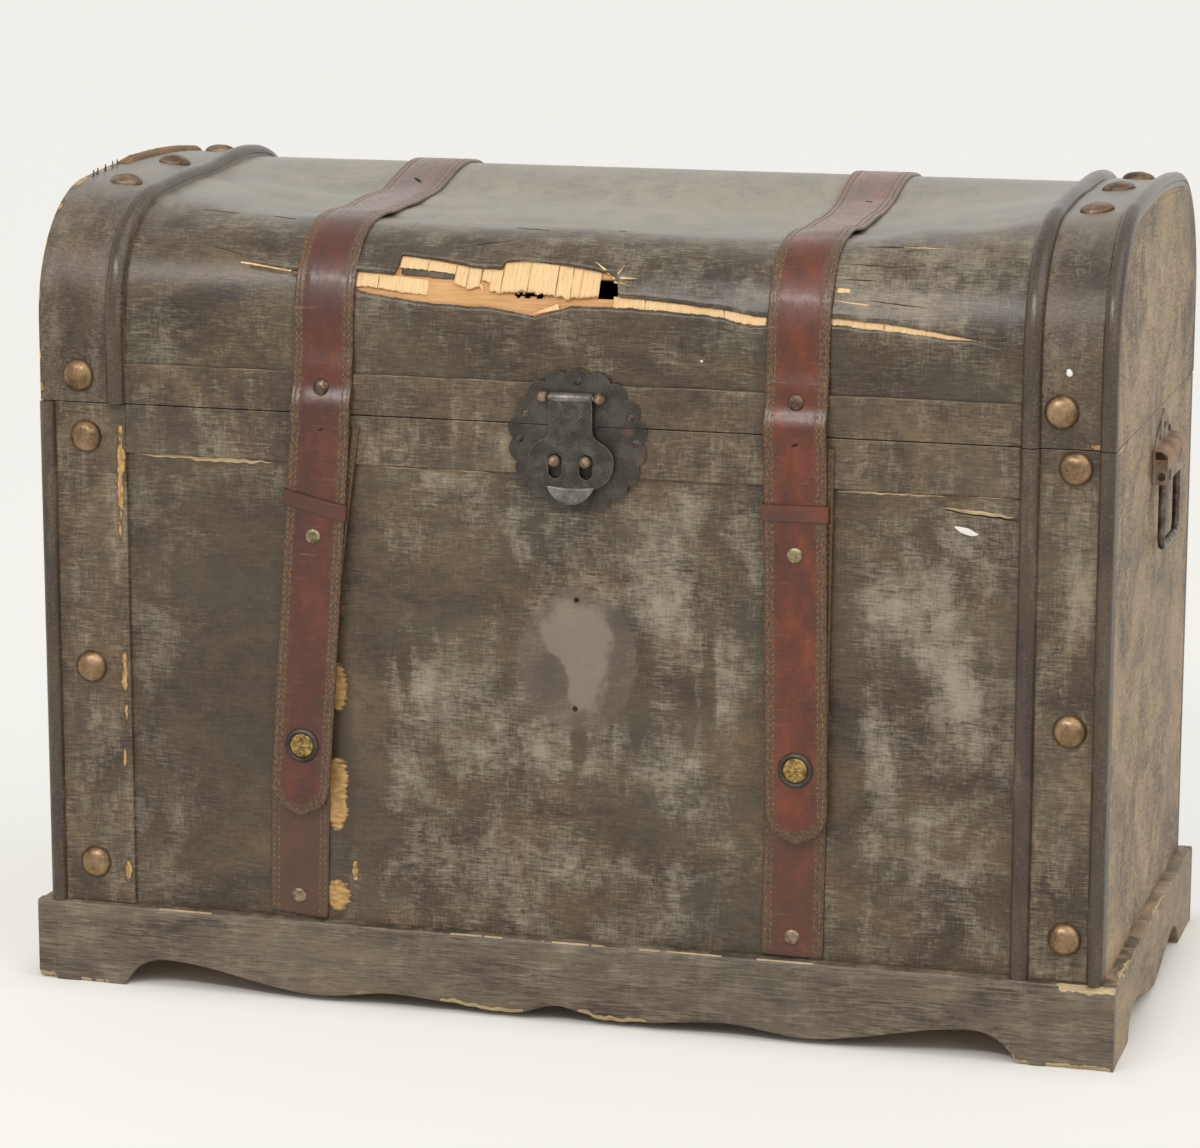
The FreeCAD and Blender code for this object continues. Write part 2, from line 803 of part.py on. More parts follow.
def build_lid_trim():
    """Front band, bent corner bands, bent beads and dome nails of the lid."""
    middle_width = d.case_width - 2 * d.corner_band_width
    node(box("lid_band", -(middle_width / 2), d.band_face, d.seam_height,
             middle_width, d.band_thickness, d.lid_band_height), "lid_band")
    for end, side in SIDES:
        name = f"lid_corner_band_{end}"
        band = padded(name, "YZ_Plane", dome_sheet(as_size(0), d.band_thickness), d.corner_band_width)
        place(band, x=-d.half_width if side < 0 else d.half_width - d.corner_band_width)
        node(band, name)
    places = bead_places()
    for kind, end, side in (("inner", "left", -1), ("inner", "right", 1), ("outer", "right", 1)):
        middle, width = places[kind]
        bent_bead(f"lid_bead_{kind}_{end}", width, side * middle)
    nails = []
    lean = arc_sine(d.crown_nail_spacing / crown_radius)
    crown_center = crown_top - crown_radius
    nail_radius = crown_radius + d.band_thickness
    for end, side in SIDES:
        x = side * (d.half_width - of_side(end, "lid_nail_inset"))
        front = big_nail(f"lid_nail_{end}_front")
        nails.append(facing_front(front, x, d.band_face, d.seam_height + of_side(end, "lid_nail_rise")))
        x = side * (d.half_width - d.crown_nail_inset)
        top = big_nail(f"lid_nail_{end}_top")
        nails.append(place(top, x, 0, crown_center + nail_radius))
        reach = d.crown_nail_spacing * nail_radius / crown_radius
        height = crown_center + root(nail_radius * nail_radius - reach * reach)
        for face, along in ENDS:
            nail = big_nail(f"lid_nail_{end}_{face}_crown")
            nails.append(place(nail, x, along * reach, height, axis=(-along, 0, 0), angle=lean))
    node(group("lid_dome_nails", nails), "lid_dome_nails")


def hinge_leaf(name, x, upward):
    """One hinge leaf: a plate on the back with its knuckles, the middle one on the lid."""
    axis_z = d.case_top + d.seam_gap / 2
    free = d.hinge_knuckle_radius + d.seat_gap
    third = d.hinge_width / 3
    if upward:
        plate_z = axis_z + free
        neck_z = axis_z
        spans = [(-(third / 2) + d.seat_gap, third - 2 * d.seat_gap)]
        bore = d.hinge_pin_radius + d.running_clearance
    else:
        plate_z = axis_z - free - d.hinge_leaf_height
        neck_z = axis_z - free
        spans = [(-(d.hinge_width / 2), third), (third / 2, third)]
        bore = d.hinge_pin_radius
    pieces = [box(name + "_plate", x - d.hinge_width / 2, d.back, plate_z,
                  d.hinge_width, d.hinge_leaf_thickness, d.hinge_leaf_height)]
    bores = []
    for number, (start, length) in enumerate(spans):
        neck = box(f"{name}_neck_{number}", x + start, d.back + d.seat_gap, neck_z,
                   length, d.hinge_leaf_thickness - d.seat_gap, free)
        knuckle = cylinder(f"{name}_knuckle_{number}", d.hinge_knuckle_radius, length)
        place(knuckle, x + start, d.back + d.hinge_axis_stand_off, axis_z, axis=(0, 1, 0), angle=90)
        hole = cylinder(f"{name}_bore_{number}", bore, length)
        place(hole, x + start, d.back + d.hinge_axis_stand_off, axis_z, axis=(0, 1, 0), angle=90)
        pieces += [neck, knuckle]
        bores.append(hole)
    return cut(name, fuse(name + "_solid", pieces), group(name + "_bores", bores))


def build_hinges():
    """Two back hinges: leaves, pins and screws."""
    axis_z = d.case_top + d.seam_gap / 2
    leaves = {"case": [], "lid": []}
    screws = {"case": [], "lid": []}
    pins = []
    for end, side in SIDES:
        x = side * (d.half_width - d.hinge_inset)
        for owner, upward, way in (("case", False, -1), ("lid", True, 1)):
            leaves[owner].append(hinge_leaf(f"hinge_{owner}_{end}", x, upward))
            middle = axis_z + way * (d.hinge_knuckle_radius + d.seat_gap + d.hinge_leaf_height / 2)
            for number in (-1, 0, 1):
                screw = brad(f"hinge_screw_{owner}_{end}_{number + 1}")
                across = x + number * d.hinge_screw_spacing
                screws[owner].append(facing_back(screw, across, d.back + d.hinge_leaf_thickness, middle))
        pin = cylinder(f"hinge_pin_{end}", d.hinge_pin_radius, d.hinge_width)
        place(pin, x - d.hinge_width / 2, d.back + d.hinge_axis_stand_off, axis_z, axis=(0, 1, 0), angle=90)
        pins.append(pin)
    for owner in leaves:
        node(group(f"hinge_leaves_{owner}", leaves[owner]), f"hinge_leaves_{owner}")
        node(group(f"hinge_screws_{owner}", screws[owner]), f"hinge_screws_{owner}")
    node(group("hinge_pins", pins), "hinge_pins")


def lock_plate(name, keep_above, limit):
    """Half of the scalloped round plate, cut off level at a height."""
    body = new_body(name)
    disc = new_sketch(body, name + "_disc", "XZ_Plane")
    draw_circle(disc, 0, 0, d.lock_disc_radius)
    pad(body, disc, d.lock_plate_thickness)
    lobe = new_sketch(body, name + "_lobe", "XZ_Plane")
    draw_circle(lobe, 0, d.lock_disc_radius - d.lock_lobe_radius / 4, d.lock_lobe_radius)
    petal = pad(body, lobe, d.lock_plate_thickness)
    doc.recompute()
    ring = body.newObject("PartDesign::PolarPattern", name + "_ring")
    ring.Originals = [petal]
    ring.Axis = (disc, ["N_Axis"])
    ring.Angle = 360
    ring.setExpression("Occurrences", d.lock_lobes.text)
    body.Tip = ring
    doc.recompute()
    trim = new_sketch(body, name + "_trim", "XZ_Plane")
    reach = d.lock_disc_radius + 2 * d.lock_lobe_radius
    far = -reach if keep_above else reach
    path = Outline(-reach, limit).line(reach, limit).line(reach, far).line(-reach, far).close()
    draw(trim, path)
    body.Tip = pocket_all(body, trim, reverse=True)
    return body


def ball_at(name, x, y, z):
    """A round knob on the end of a pin."""
    ball = doc.addObject("Part::Sphere", name)
    ball.setExpression("Radius", d.ball_radius.text)
    return place(ball, x, y, z)


def hasp_pin(pin_y, pin_z):
    """A level pin between two balls, each on a foot riveted through the upper plate."""
    rod = cylinder("hasp_pin_rod", d.hasp_pin_radius, 2 * d.hasp_pin_half_span)
    pieces = [place(rod, d.hasp_shift - d.hasp_pin_half_span, pin_y, pin_z, axis=(0, 1, 0), angle=90)]
    for end, side in SIDES:
        x = d.hasp_shift + side * d.hasp_pin_half_span
        foot = cylinder(f"hasp_pin_foot_{end}", d.post_radius, d.front - pin_y)
        pieces.append(ball_at(f"hasp_pin_ball_{end}", x, pin_y, pin_z))
        pieces.append(facing_front(foot, x, d.front, pin_z))
    return fuse("hasp_pin", pieces)


def hasp_outline():
    """A straight neck from the pin down into a round leaf."""
    half_neck = d.hasp_neck_width / 2
    leaf = d.hasp_round_radius
    join_drop = d.hasp_reach - root(leaf * leaf - half_neck * half_neck)
    path = Outline(-half_neck, 0)
    path.line(-half_neck, -join_drop)
    path.arc(-leaf, -d.hasp_reach, leaf, 1)
    path.arc(0, -d.hasp_reach - leaf, leaf, 1)
    path.arc(leaf, -d.hasp_reach, leaf, 1)
    path.arc(half_neck, -join_drop, leaf, 1)
    path.line(half_neck, 0)
    return path.close()


def slot_outline(x, top, bottom):
    """An upright slot with round ends."""
    r = d.hasp_slot_radius
    path = Outline(x + r, top)
    path.arc(x, top + r, r, 1)
    path.arc(x - r, top, r, 1)
    path.line(x - r, bottom)
    path.arc(x, bottom - r, r, 1)
    path.arc(x + r, bottom, r, 1)
    return path.close()


def hasp_leaf(slot_top):
    """The hasp about its pin: a leaf with two slots and a barrel rolled round the pin."""
    body = new_body("hasp")
    leaf = new_sketch(body, "hasp_outline", "XZ_Plane")
    draw(leaf, hasp_outline())
    pad(body, leaf, d.hasp_thickness)
    barrel = new_sketch(body, "hasp_barrel", "YZ_Plane")
    draw_circle(barrel, 0, 0, d.hasp_barrel_radius)
    roll = pad(body, barrel, d.hasp_neck_width)
    roll.SideType = "Symmetric"
    doc.recompute()
    bore = new_sketch(body, "hasp_bore", "YZ_Plane")
    draw_circle(bore, 0, 0, d.hasp_pin_radius + d.running_clearance)
    drill = pocket_all(body, bore)
    drill.SideType = "Symmetric"
    doc.recompute()
    slots = new_sketch(body, "hasp_slots", "XZ_Plane")
    for side in (-1, 1):
        draw(slots, slot_outline(side * d.post_spacing / 2, slot_top, slot_top - d.hasp_slot_run))
    body.Tip = pocket_all(body, slots, reverse=True)
    return body


def hasp_post(end, x, z):
    """A ball-headed post riveted through the lower plate."""
    stem = cylinder(f"post_stem_{end}", d.post_radius, d.front - d.plate_face + d.post_length)
    ball = ball_at(f"post_ball_{end}", x, d.plate_face - d.post_length, z)
    return fuse(f"hasp_post_{end}", [facing_front(stem, x, d.front, z), ball])


def lock_brads(half, angles, center_z):
    """Brads round the rim of one half of the lock plate."""
    brads = []
    for number, angle in enumerate(angles):
        x = d.lock_shift + d.lock_brad_circle * math.cos(math.radians(angle))
        z = center_z + d.lock_brad_circle * math.sin(math.radians(angle))
        brads.append(facing_front(brad(f"lock_brad_{half}_{number}"), x, d.plate_face, z))
    return group(f"lock_brads_{half}", brads)


def build_lock():
    """Split lock plate, hasp pin, hasp, ball posts and brads."""
    center_z = d.seam_height - d.lock_drop
    upper = lock_plate("lock_plate_upper", True, d.seam_height - center_z)
    node(place(upper, d.lock_shift, d.band_face, center_z), "lock_plate_upper")
    lower = lock_plate("lock_plate_lower", False, d.case_top - center_z)
    node(place(lower, d.lock_shift, d.band_face, center_z), "lock_plate_lower")
    pin_y = d.plate_face - d.hasp_barrel_radius - d.seat_gap
    pin_z = d.seam_height + d.hasp_pin_rise
    node(hasp_pin(pin_y, pin_z), "hasp_pin")
    post_z = d.seam_height - d.post_drop
    node(place(hasp_leaf(post_z - pin_z), d.hasp_shift, pin_y, pin_z), "hasp")
    posts = [hasp_post(end, d.hasp_shift + side * d.post_spacing / 2, post_z) for end, side in SIDES]
    node(group("hasp_posts", posts), "hasp_posts")
    for half, angles in LOCK_BRAD_ANGLES.items():
        node(lock_brads(half, angles, center_z), f"lock_brads_{half}")


def strap_frames():
    """Place of each strap and the way its flap's tip leans, 1 to the left and -1 to the right."""
    left, right = strap_places()
    return (("left", left, 1), ("right", right, -1))


def hang(thing, x, y, z, lean, turn):
    """Place a strap piece, leaning about the middle of the fold line."""
    return place(thing, x, y, z, axis=(0, turn, 0), angle=lean)


def strap_front_outline(fold_z, flap_inner, flap_outer):
    """Leather from the lid's front wall over the band to the fold line."""
    thick = d.strap_thickness
    band_top = d.seam_height + d.lid_band_height
    inner = d.band_face - d.seat_gap
    outer = inner - thick
    bend = fold_z + 2 * thick
    path = Outline(d.front - thick, band_top + 3 * thick)
    path.line(d.front - thick, shoulder_height)
    path.line(d.front, shoulder_height)
    path.line(d.front, band_top + 2 * thick)
    path.line(inner, band_top)
    path.line(inner, bend)
    path.line(flap_inner, fold_z + d.fold_gap)
    path.line(flap_outer, fold_z + d.fold_gap)
    path.line(outer, bend)
    path.line(outer, band_top)
    return path.close()


def corner_rise(lean):
    """How far a leaning strap's corner rises over the middle of its edge."""
    return d.strap_width / 2 * sine(lean) / cosine(lean)


def flap_outline(length, lean, turn):
    """A flap with a rounded tip, its top edge level when the flap hangs at a lean."""
    half = d.strap_width / 2
    tip = d.flap_tip_radius
    shoulder = tip - length
    edge = turn * corner_rise(lean)
    tip_radius = (half * half + tip * tip) / (2 * tip)
    path = Outline(-half, -edge).line(-half, shoulder)
    path.arc(0, -length, tip_radius, 1)
    path.arc(half, shoulder, tip_radius, 1)
    path.line(half, edge)
    return path.close()


def lower_strap_outline(fold_z, lean):
    """Leather from under the seam, over the rim band, down to the skirt's ledge."""
    thick = d.lower_strap_thickness
    top = d.case_top - d.lower_strap_drop - fold_z
    band_foot = d.case_top - d.case_band_height - corner_rise(lean) - fold_z
    foot = (d.skirt_height + d.lower_strap_lift - fold_z) / cosine(lean) + corner_rise(lean)
    flat = foot + d.lower_strap_flat
    path = Outline(d.band_face - thick, top).line(d.band_face, top).line(d.band_face, band_foot)
    path.line(d.front, flat).line(d.front, foot).line(d.front - thick, foot)
    path.line(d.front - thick, flat).line(d.band_face - thick, band_foot)
    return path.close()


def keeper(name, drop):
    """A flat loop round the flap at a drop below the flap's fold line."""
    half = d.strap_width / 2
    gap = d.keeper_clearance
    reach = gap + d.keeper_thickness
    foot = -drop - d.keeper_height
    outer = box(name + "_outer", -half - reach, -reach, foot,
                d.strap_width + 2 * reach, d.strap_thickness + 2 * reach, d.keeper_height)
    inner = box(name + "_inner", -half - gap, -gap, foot - d.keeper_height,
                d.strap_width + 2 * gap, d.strap_thickness + 2 * gap, 3 * d.keeper_height)
    return cut(name, outer, inner)


def build_straps():
    """Leather over the dome, flaps, lower straps and keepers, then their metal fittings."""
    fold_z = d.seam_height + d.fold_rise
    back_foot = fold_z
    flap_inner = d.front - d.flap_stand_off
    flap_outer = flap_inner - d.strap_thickness
    for end, x, turn in strap_frames():
        name = f"lid_strap_{end}"
        edges = [x - d.strap_width / 2, x + d.strap_width / 2]
        over = crown_loft(f"strap_crown_{end}", d.seat_gap, d.strap_thickness,
                          [(edge, sink_depth(edge)) for edge in edges])
        path = strap_front_outline(fold_z, flap_inner, flap_outer)
        down = place(padded(f"strap_front_{end}", "YZ_Plane", path, d.strap_width), x=edges[0])
        behind = box(f"strap_back_{end}", edges[0], d.back, back_foot,
                     d.strap_width, d.strap_thickness, shoulder_height - back_foot)
        node(fuse(name, [over, down, behind]), name)
        lean = of_side(end, "strap_lean")
        name = f"strap_flap_{end}"
        path = flap_outline(of_side(end, "flap_length"), lean, turn)
        flap = padded(name, "XZ_Plane", path, d.strap_thickness, reverse=True)
        node(hang(flap, x, flap_outer, fold_z, lean, turn), name)
        name = f"keeper_{end}"
        loop = keeper(name, of_side(end, "keeper_place"))
        node(hang(loop, x, flap_outer, fold_z, lean, turn), name)
        name = f"lower_strap_{end}"
        lean = of_side(end, "lower_lean")
        strap = padded(name, "YZ_Plane", lower_strap_outline(fold_z, lean), d.strap_width, both_ways=True)
        node(hang(strap, x + of_side(end, "lower_shift"), 0, fold_z, lean, 1), name)
    build_strap_fittings(fold_z, flap_inner, flap_outer)


def along_strap(x, fold_z, lean, turn, down):
    """Place on a leaning strap at a distance below its fold line."""
    return x - turn * down * sine(lean), fold_z - down * cosine(lean)


def build_strap_fittings(fold_z, flap_inner, flap_outer):
    """Studs on the lid, rivets and snap caps on the flaps, studs and rivets on the lower straps."""
    lid_studs = []
    snap_studs = []
    lower_rivets = []
    stud_y = d.band_face - d.seat_gap - d.strap_thickness
    lower_face = d.front - d.lower_strap_thickness
    flat_top = d.skirt_height + d.lower_strap_lift + d.lower_strap_flat
    slope = d.band_thickness / (d.case_top - d.case_band_height - flat_top)
    for end, x, turn in strap_frames():
        lean = of_side(end, "strap_lean")
        stud_z = fold_z + of_side(end, "stud_rise")
        lid_studs.append(facing_front(stud(f"strap_stud_{end}", d.brad_shank_length), x, stud_y, stud_z))
        back_nail = brad(f"strap_back_nail_{end}")
        lid_studs.append(facing_back(back_nail, x, d.back + d.strap_thickness, stud_z))

        rivet = stud(f"flap_rivet_{end}", d.strap_thickness)
        rivet_x, rivet_z = along_strap(x, fold_z, lean, turn, of_side(end, "rivet_place"))
        node(facing_front(rivet, rivet_x, flap_outer, rivet_z), f"flap_rivet_{end}")

        snap_place = of_side(end, "flap_length") - of_side(end, "snap_inset")
        snap_x, snap_z = along_strap(x, fold_z, lean, turn, snap_place)
        cap = dome_nail(f"snap_cap_{end}", 2 * d.snap_cap_radius, d.snap_cap_height,
                        2 * d.snap_stud_radius, d.strap_thickness)
        node(facing_front(cap, snap_x, flap_outer, snap_z), f"snap_cap_{end}")
        root_y = lower_face + d.lower_strap_thickness / 2 - (snap_z - flat_top) * slope
        snap = cylinder(f"snap_stud_{end}", d.snap_stud_radius, root_y - flap_inner - d.seat_gap)
        snap_studs.append(facing_front(snap, snap_x, root_y, snap_z))

        down = fold_z - d.skirt_height - d.lower_rivet_rise
        lower_x = x + of_side(end, "lower_shift")
        low_x, low_z = along_strap(lower_x, fold_z, of_side(end, "lower_lean"), 1, down)
        lower = stud(f"lower_rivet_{end}", d.brad_shank_length)
        lower_rivets.append(facing_front(lower, low_x, lower_face, low_z))
    node(group("strap_studs", lid_studs), "strap_studs")
    node(group("snap_studs", snap_studs), "snap_studs")
    node(group("lower_strap_rivets", lower_rivets), "lower_strap_rivets")


def bail_path(end):
    """The bail's middle line from one turned-out end to the other, about its pivot."""
    half = d.bail_width / 2
    turn = d.bail_end_radius
    corner = d.bail_corner_radius
    drop = d.bail_drop
    path = Outline(-end, 0)
    path.line(-half - turn, 0)
    path.arc(-half, -turn, turn, -1)
    path.line(-half, corner - drop)
    path.arc(corner - half, -drop, corner, 1)
    path.line(half - corner, -drop)
    path.arc(half, corner - drop, corner, 1)
    path.line(half, -turn)
    path.arc(half + turn, 0, turn, -1)
    path.line(end, 0)
    return path


def handle_bail(name):
    """A round rod bent to a hanging ring with its ends turned out through the ears."""
    end = d.handle_ear + d.handle_sheet
    body = new_body(name)
    spine = new_sketch(body, name + "_spine", "YZ_Plane")
    path = bail_path(end)
    draw(spine, path)
    section = new_sketch(body, name + "_section", "XZ_Plane")
    section.setExpression("AttachmentOffset.Base.z", end.text)
    draw_circle(section, 0, 0, d.bail_rod_radius)
    sweep = body.newObject("PartDesign::AdditivePipe", name + "_sweep")
    sweep.Profile = section
    sweep.Spine = (spine, [f"Edge{number + 1}" for number in range(len(path.edges))])
    return body


def handle_bracket(name):
    """A sheet rolled out to a hood, with a pointed leaf, two bored ears and a tongue between them."""
    sheet_t = d.handle_sheet
    half = d.handle_hood_half
    out = d.handle_hood_reach
    hood = d.handle_hood_rise
    roll = d.handle_hood_radius
    bend = hood - sheet_t - roll
    lip = hood - d.handle_lip_height
    foot = -d.handle_plate_drop
    path = Outline(0, foot).line(sheet_t, foot).line(sheet_t, hood - sheet_t)
    path.line(out - roll, hood - sheet_t).arc(out, bend, roll, -1)
    path.line(out, lip).line(out + sheet_t, lip).line(out + sheet_t, bend)
    path.arc(out - roll, hood, roll + sheet_t, 1).line(0, hood)
    fold = padded(name + "_fold", "XZ_Plane", path.close(), 2 * half, both_ways=True)
    waist = (hood + d.handle_leaf_rise) / 2
    path = Outline(-half, hood - sheet_t).line(half, hood - sheet_t).line(half / 2, waist)
    path.line(0, d.handle_leaf_rise).line(-(half / 2), waist)
    leaf = padded(name + "_leaf", "YZ_Plane", path.close(), sheet_t)
    pieces = [fold, leaf]
    for face, way in ENDS:
        y = way * d.handle_ear - sheet_t / 2
        pieces.append(box(f"{name}_ear_{face}", 0, y, foot, out, sheet_t, bend - foot))
    tongue = d.bail_width / 2 - d.bail_rod_radius - d.handle_tongue_gap
    low = lip - d.handle_tongue_drop
    pieces.append(box(name + "_tongue", out, -tongue, low, sheet_t, 2 * tongue, bend - low))
    bore = cylinder(name + "_bore", d.bail_rod_radius + d.running_clearance, 2 * half)
    place(bore, d.handle_pivot_stand_off, half, 0, axis=(1, 0, 0), angle=90)
    return cut(name, fuse(name + "_solid", pieces), bore)


def build_handles():
    """Hooded bracket, hanging bail and brads at each end."""
    back = d.handle_setback
    spread = d.handle_hood_half / 2
    brads = []
    for end, side in SIDES:
        turn = 0 if side > 0 else 180
        x = side * d.half_width
        name = f"handle_bracket_{end}"
        node(place(handle_bracket(name), x, back, d.handle_height, angle=turn), name)
        name = f"handle_bail_{end}"
        pivot_x = side * (d.half_width + d.handle_pivot_stand_off)
        node(place(handle_bail(name), pivot_x, back, d.handle_height, angle=turn), name)
        low = d.handle_height + d.handle_hood_rise + d.brad_diameter
        high = d.handle_height + d.handle_leaf_rise - 2 * d.brad_diameter
        for number, (y, z) in enumerate(((back - spread, low), (back + spread, low), (back, high))):
            pin = brad(f"handle_brad_{end}_{number}")
            face = side * (d.half_width + d.handle_sheet)
            brads.append(place(pin, face, y, z, axis=(0, 1, 0), angle=side * 90))
    node(group("handle_brads", brads), "handle_brads")


build_case_box()
build_skirt()
build_case_trim()
build_lid_shell()
build_lid_trim()
build_hinges()
build_lock()
build_straps()
build_handles()

doc.recompute()
for thing in doc.Objects:
    if "Invalid" in thing.State or "Error" in thing.State:
        raise RuntimeError(f"{thing.Label} failed: {thing.State}")
for thing in nodes:
    if thing.Shape.isNull() or not thing.Shape.isValid():
        raise RuntimeError(f"{thing.Label} has no valid shape")

os.makedirs("parts", exist_ok=True)
for thing in nodes:
    thing.Shape.exportStep(f"parts/{thing.Label}.step")
    print(thing.Label, len(thing.Shape.Solids), round(thing.Shape.Volume / 1000, 1))
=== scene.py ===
"""Dome top trunk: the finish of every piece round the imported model, in the model's own frame.

Shapes are worked out in millimetres and turned to metres where a mesh is made.
"""
import math
import bmesh
import bpy
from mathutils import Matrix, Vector, geometry, noise


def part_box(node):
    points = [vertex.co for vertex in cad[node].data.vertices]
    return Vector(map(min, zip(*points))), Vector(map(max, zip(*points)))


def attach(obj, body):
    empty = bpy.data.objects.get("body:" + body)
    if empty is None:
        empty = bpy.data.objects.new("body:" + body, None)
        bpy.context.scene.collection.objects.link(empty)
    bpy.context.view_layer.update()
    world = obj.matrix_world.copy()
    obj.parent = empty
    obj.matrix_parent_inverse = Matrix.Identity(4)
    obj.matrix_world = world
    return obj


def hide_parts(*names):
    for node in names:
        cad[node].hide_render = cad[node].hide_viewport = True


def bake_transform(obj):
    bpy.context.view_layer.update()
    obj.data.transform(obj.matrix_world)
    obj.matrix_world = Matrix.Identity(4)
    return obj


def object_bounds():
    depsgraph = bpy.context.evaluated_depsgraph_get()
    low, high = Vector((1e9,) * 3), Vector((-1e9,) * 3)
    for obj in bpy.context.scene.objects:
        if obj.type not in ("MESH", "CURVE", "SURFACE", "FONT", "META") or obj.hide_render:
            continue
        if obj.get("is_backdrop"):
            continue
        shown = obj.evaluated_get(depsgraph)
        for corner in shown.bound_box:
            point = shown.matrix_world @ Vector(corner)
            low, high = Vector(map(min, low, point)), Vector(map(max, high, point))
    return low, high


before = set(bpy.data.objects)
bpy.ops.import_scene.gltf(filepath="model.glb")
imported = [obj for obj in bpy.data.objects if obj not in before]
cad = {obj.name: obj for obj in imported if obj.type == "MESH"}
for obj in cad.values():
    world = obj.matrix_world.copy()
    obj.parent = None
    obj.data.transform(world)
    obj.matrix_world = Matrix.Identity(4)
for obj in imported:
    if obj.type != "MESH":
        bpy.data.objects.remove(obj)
cad_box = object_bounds()
scene = bpy.context.scene
MM = 0.001
# Points of a made mesh and of a packed one that are closer than this are one point, in metres
MERGE_REACH = 0.000004
WELD_REACH = 0.00001


def corners(node):
    """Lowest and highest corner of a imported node, in millimetres."""
    return [Vector(corner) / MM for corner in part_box(node)]


def middle_x(node):
    """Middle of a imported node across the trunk, in millimetres."""
    return sum(corner.x for corner in corners(node)) / 2


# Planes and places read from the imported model
panel_low, panel_high = corners("front_panel")
HALF_WIDTH = panel_high.x
FRONT = panel_low.y
BACK = -FRONT
CASE_TOP = panel_high.z
SEAM = corners("dome_skin")[0].z
CROWN = corners("dome_skin")[1].z
SKIRT_TOP = corners("skirt_front")[1].z
SKIRT_FACE = corners("skirt_front")[0].y
SKIRT_HALF = corners("skirt_front")[1].x
BAND = FRONT - corners("case_band")[0].y
RIM_FOOT = corners("case_band")[0].z
LID_RIM_TOP = corners("lid_band")[1].z
BAND_INNER = HALF_WIDTH - (corners("corner_band_right")[1].x - corners("corner_band_right")[0].x)
PLATE_FACE = corners("lock_plate_upper")[0].y
LOCK_X = middle_x("hasp")

# Dome profile: a wall, a shoulder arc, a flat crown arc and the same back down
LID_WALL = 59.0
SHOULDER = 95.0
CROWN_RISE = 5.0
HALF_FLAT = BACK - SHOULDER
CROWN_RADIUS = (HALF_FLAT ** 2 + CROWN_RISE ** 2) / (2 * CROWN_RISE) + SHOULDER
CROWN_LEAN = math.asin(HALF_FLAT / (CROWN_RADIUS - SHOULDER))
SHOULDER_END = LID_WALL + SHOULDER * (math.pi / 2 - CROWN_LEAN)
CROWN_END = SHOULDER_END + 2 * CROWN_RADIUS * CROWN_LEAN
DOME_RUN = CROWN_END + SHOULDER_END

# How far the old crown has sunk, from the left end to the right end
SUNK_DEPTH = ((-400, 1), (-367, 4), (-340, 9), (-206, 20), (-60, 23), (60, 25), (150, 25), (195, 22),
              (270, 13), (340, 4), (400, 0))
# The sunk shelf from front to back: the Y over which it falls and rises, and the fall of the stiff leather
SHELF_FALL, SHELF_RISE = (-180, -92), (-10, 92)
LEATHER_FALL = (-205, -70)
# Ripples in the shelf: height, length along X and Y, and where they end towards the corner bands
RIPPLE, RIPPLE_X, RIPPLE_Y = 3.0, 95, 38
RIPPLE_END = (360, 250)

# Straps: leans in degrees with the tip to the left above zero, drops below the fold line
STRAP_HALF = 23.0
STRAP_THICK = 3.0
FOLD_Z = SEAM + 6
FLAP_STAND_OFF = 7.4
FLAP_TIP = 21.0
STRAPS = {"left": {"lean": 3.9, "flap": 307.0, "rivet": 96.0, "snap": 254.0, "stud": 20.0, "keeper": 67.0,
                   "tilt": 8.5, "lower_lean": 4.7, "lower_shift": 7.0, "bow": 7.5,
                   "dull": 0.25, "lower_dull": 1.0},
          "right": {"lean": -0.8, "flap": 300.0, "rivet": 90.0, "snap": 246.0, "stud": 24.5, "keeper": 54.0,
                    "tilt": 0.6, "lower_lean": 0.7, "lower_shift": 5.0, "bow": 0.0,
                    "dull": 0.0, "lower_dull": 0.5}}
for end, strap in STRAPS.items():
    strap["x"] = middle_x(f"lid_strap_{end}")


def ease(start, end, value):
    """0 before start, 1 after end and a smooth rise between them."""
    share = min(max((value - start) / (end - start), 0.0), 1.0)
    return share * share * (3 - 2 * share)


def along(stops, x, smooth=True):
    """Value at x of a line through a few stops."""
    if x <= stops[0][0]:
        return stops[0][1]
    for (x0, v0), (x1, v1) in zip(stops, stops[1:]):
        if x <= x1:
            share = ease(x0, x1, x) if smooth else (x - x0) / (x1 - x0)
            return v0 + (v1 - v0) * share
    return stops[-1][1]


def rough(seed, *place):
    """Smooth unevenness between -1 and 1 at a place."""
    spot = list(place) + [0.0] * (2 - len(place))
    return noise.noise(Vector((spot[0], spot[1], seed * 7.31)))


def dome(s, h=0.0):
    """Y and Z on the unsunk dome, s along its profile from the front seam, h out of the skin."""
    if s <= LID_WALL:
        return FRONT - h, SEAM + s
    if s <= SHOULDER_END:
        angle = math.pi - (s - LID_WALL) / SHOULDER
        reach = SHOULDER + h
        return -HALF_FLAT + reach * math.cos(angle), SEAM + LID_WALL + reach * math.sin(angle)
    if s <= CROWN_END:
        angle = math.pi / 2 + CROWN_LEAN - (s - SHOULDER_END) / CROWN_RADIUS
        reach = CROWN_RADIUS + h
        return reach * math.cos(angle), CROWN - CROWN_RADIUS + reach * math.sin(angle)
    y, z = dome(DOME_RUN - s, h)
    return -y, z


def sunk(x, y):
    """How far the skin has sunk at a place: a shelf behind the front shoulder, with long ripples."""
    shelf = ease(*SHELF_FALL, y) * (1 - ease(*SHELF_RISE, y))
    ripple = RIPPLE * rough(1, x / RIPPLE_X, y / RIPPLE_Y) * ease(*RIPPLE_END, abs(x))
    return shelf * (along(SUNK_DEPTH, x) + ripple)


def on_dome(x, s, h=0.0):
    """A point on the sunk lid, h out of its skin."""
    y, z = dome(s, h)
    return Vector((x, y, z - sunk(x, dome(s)[0])))


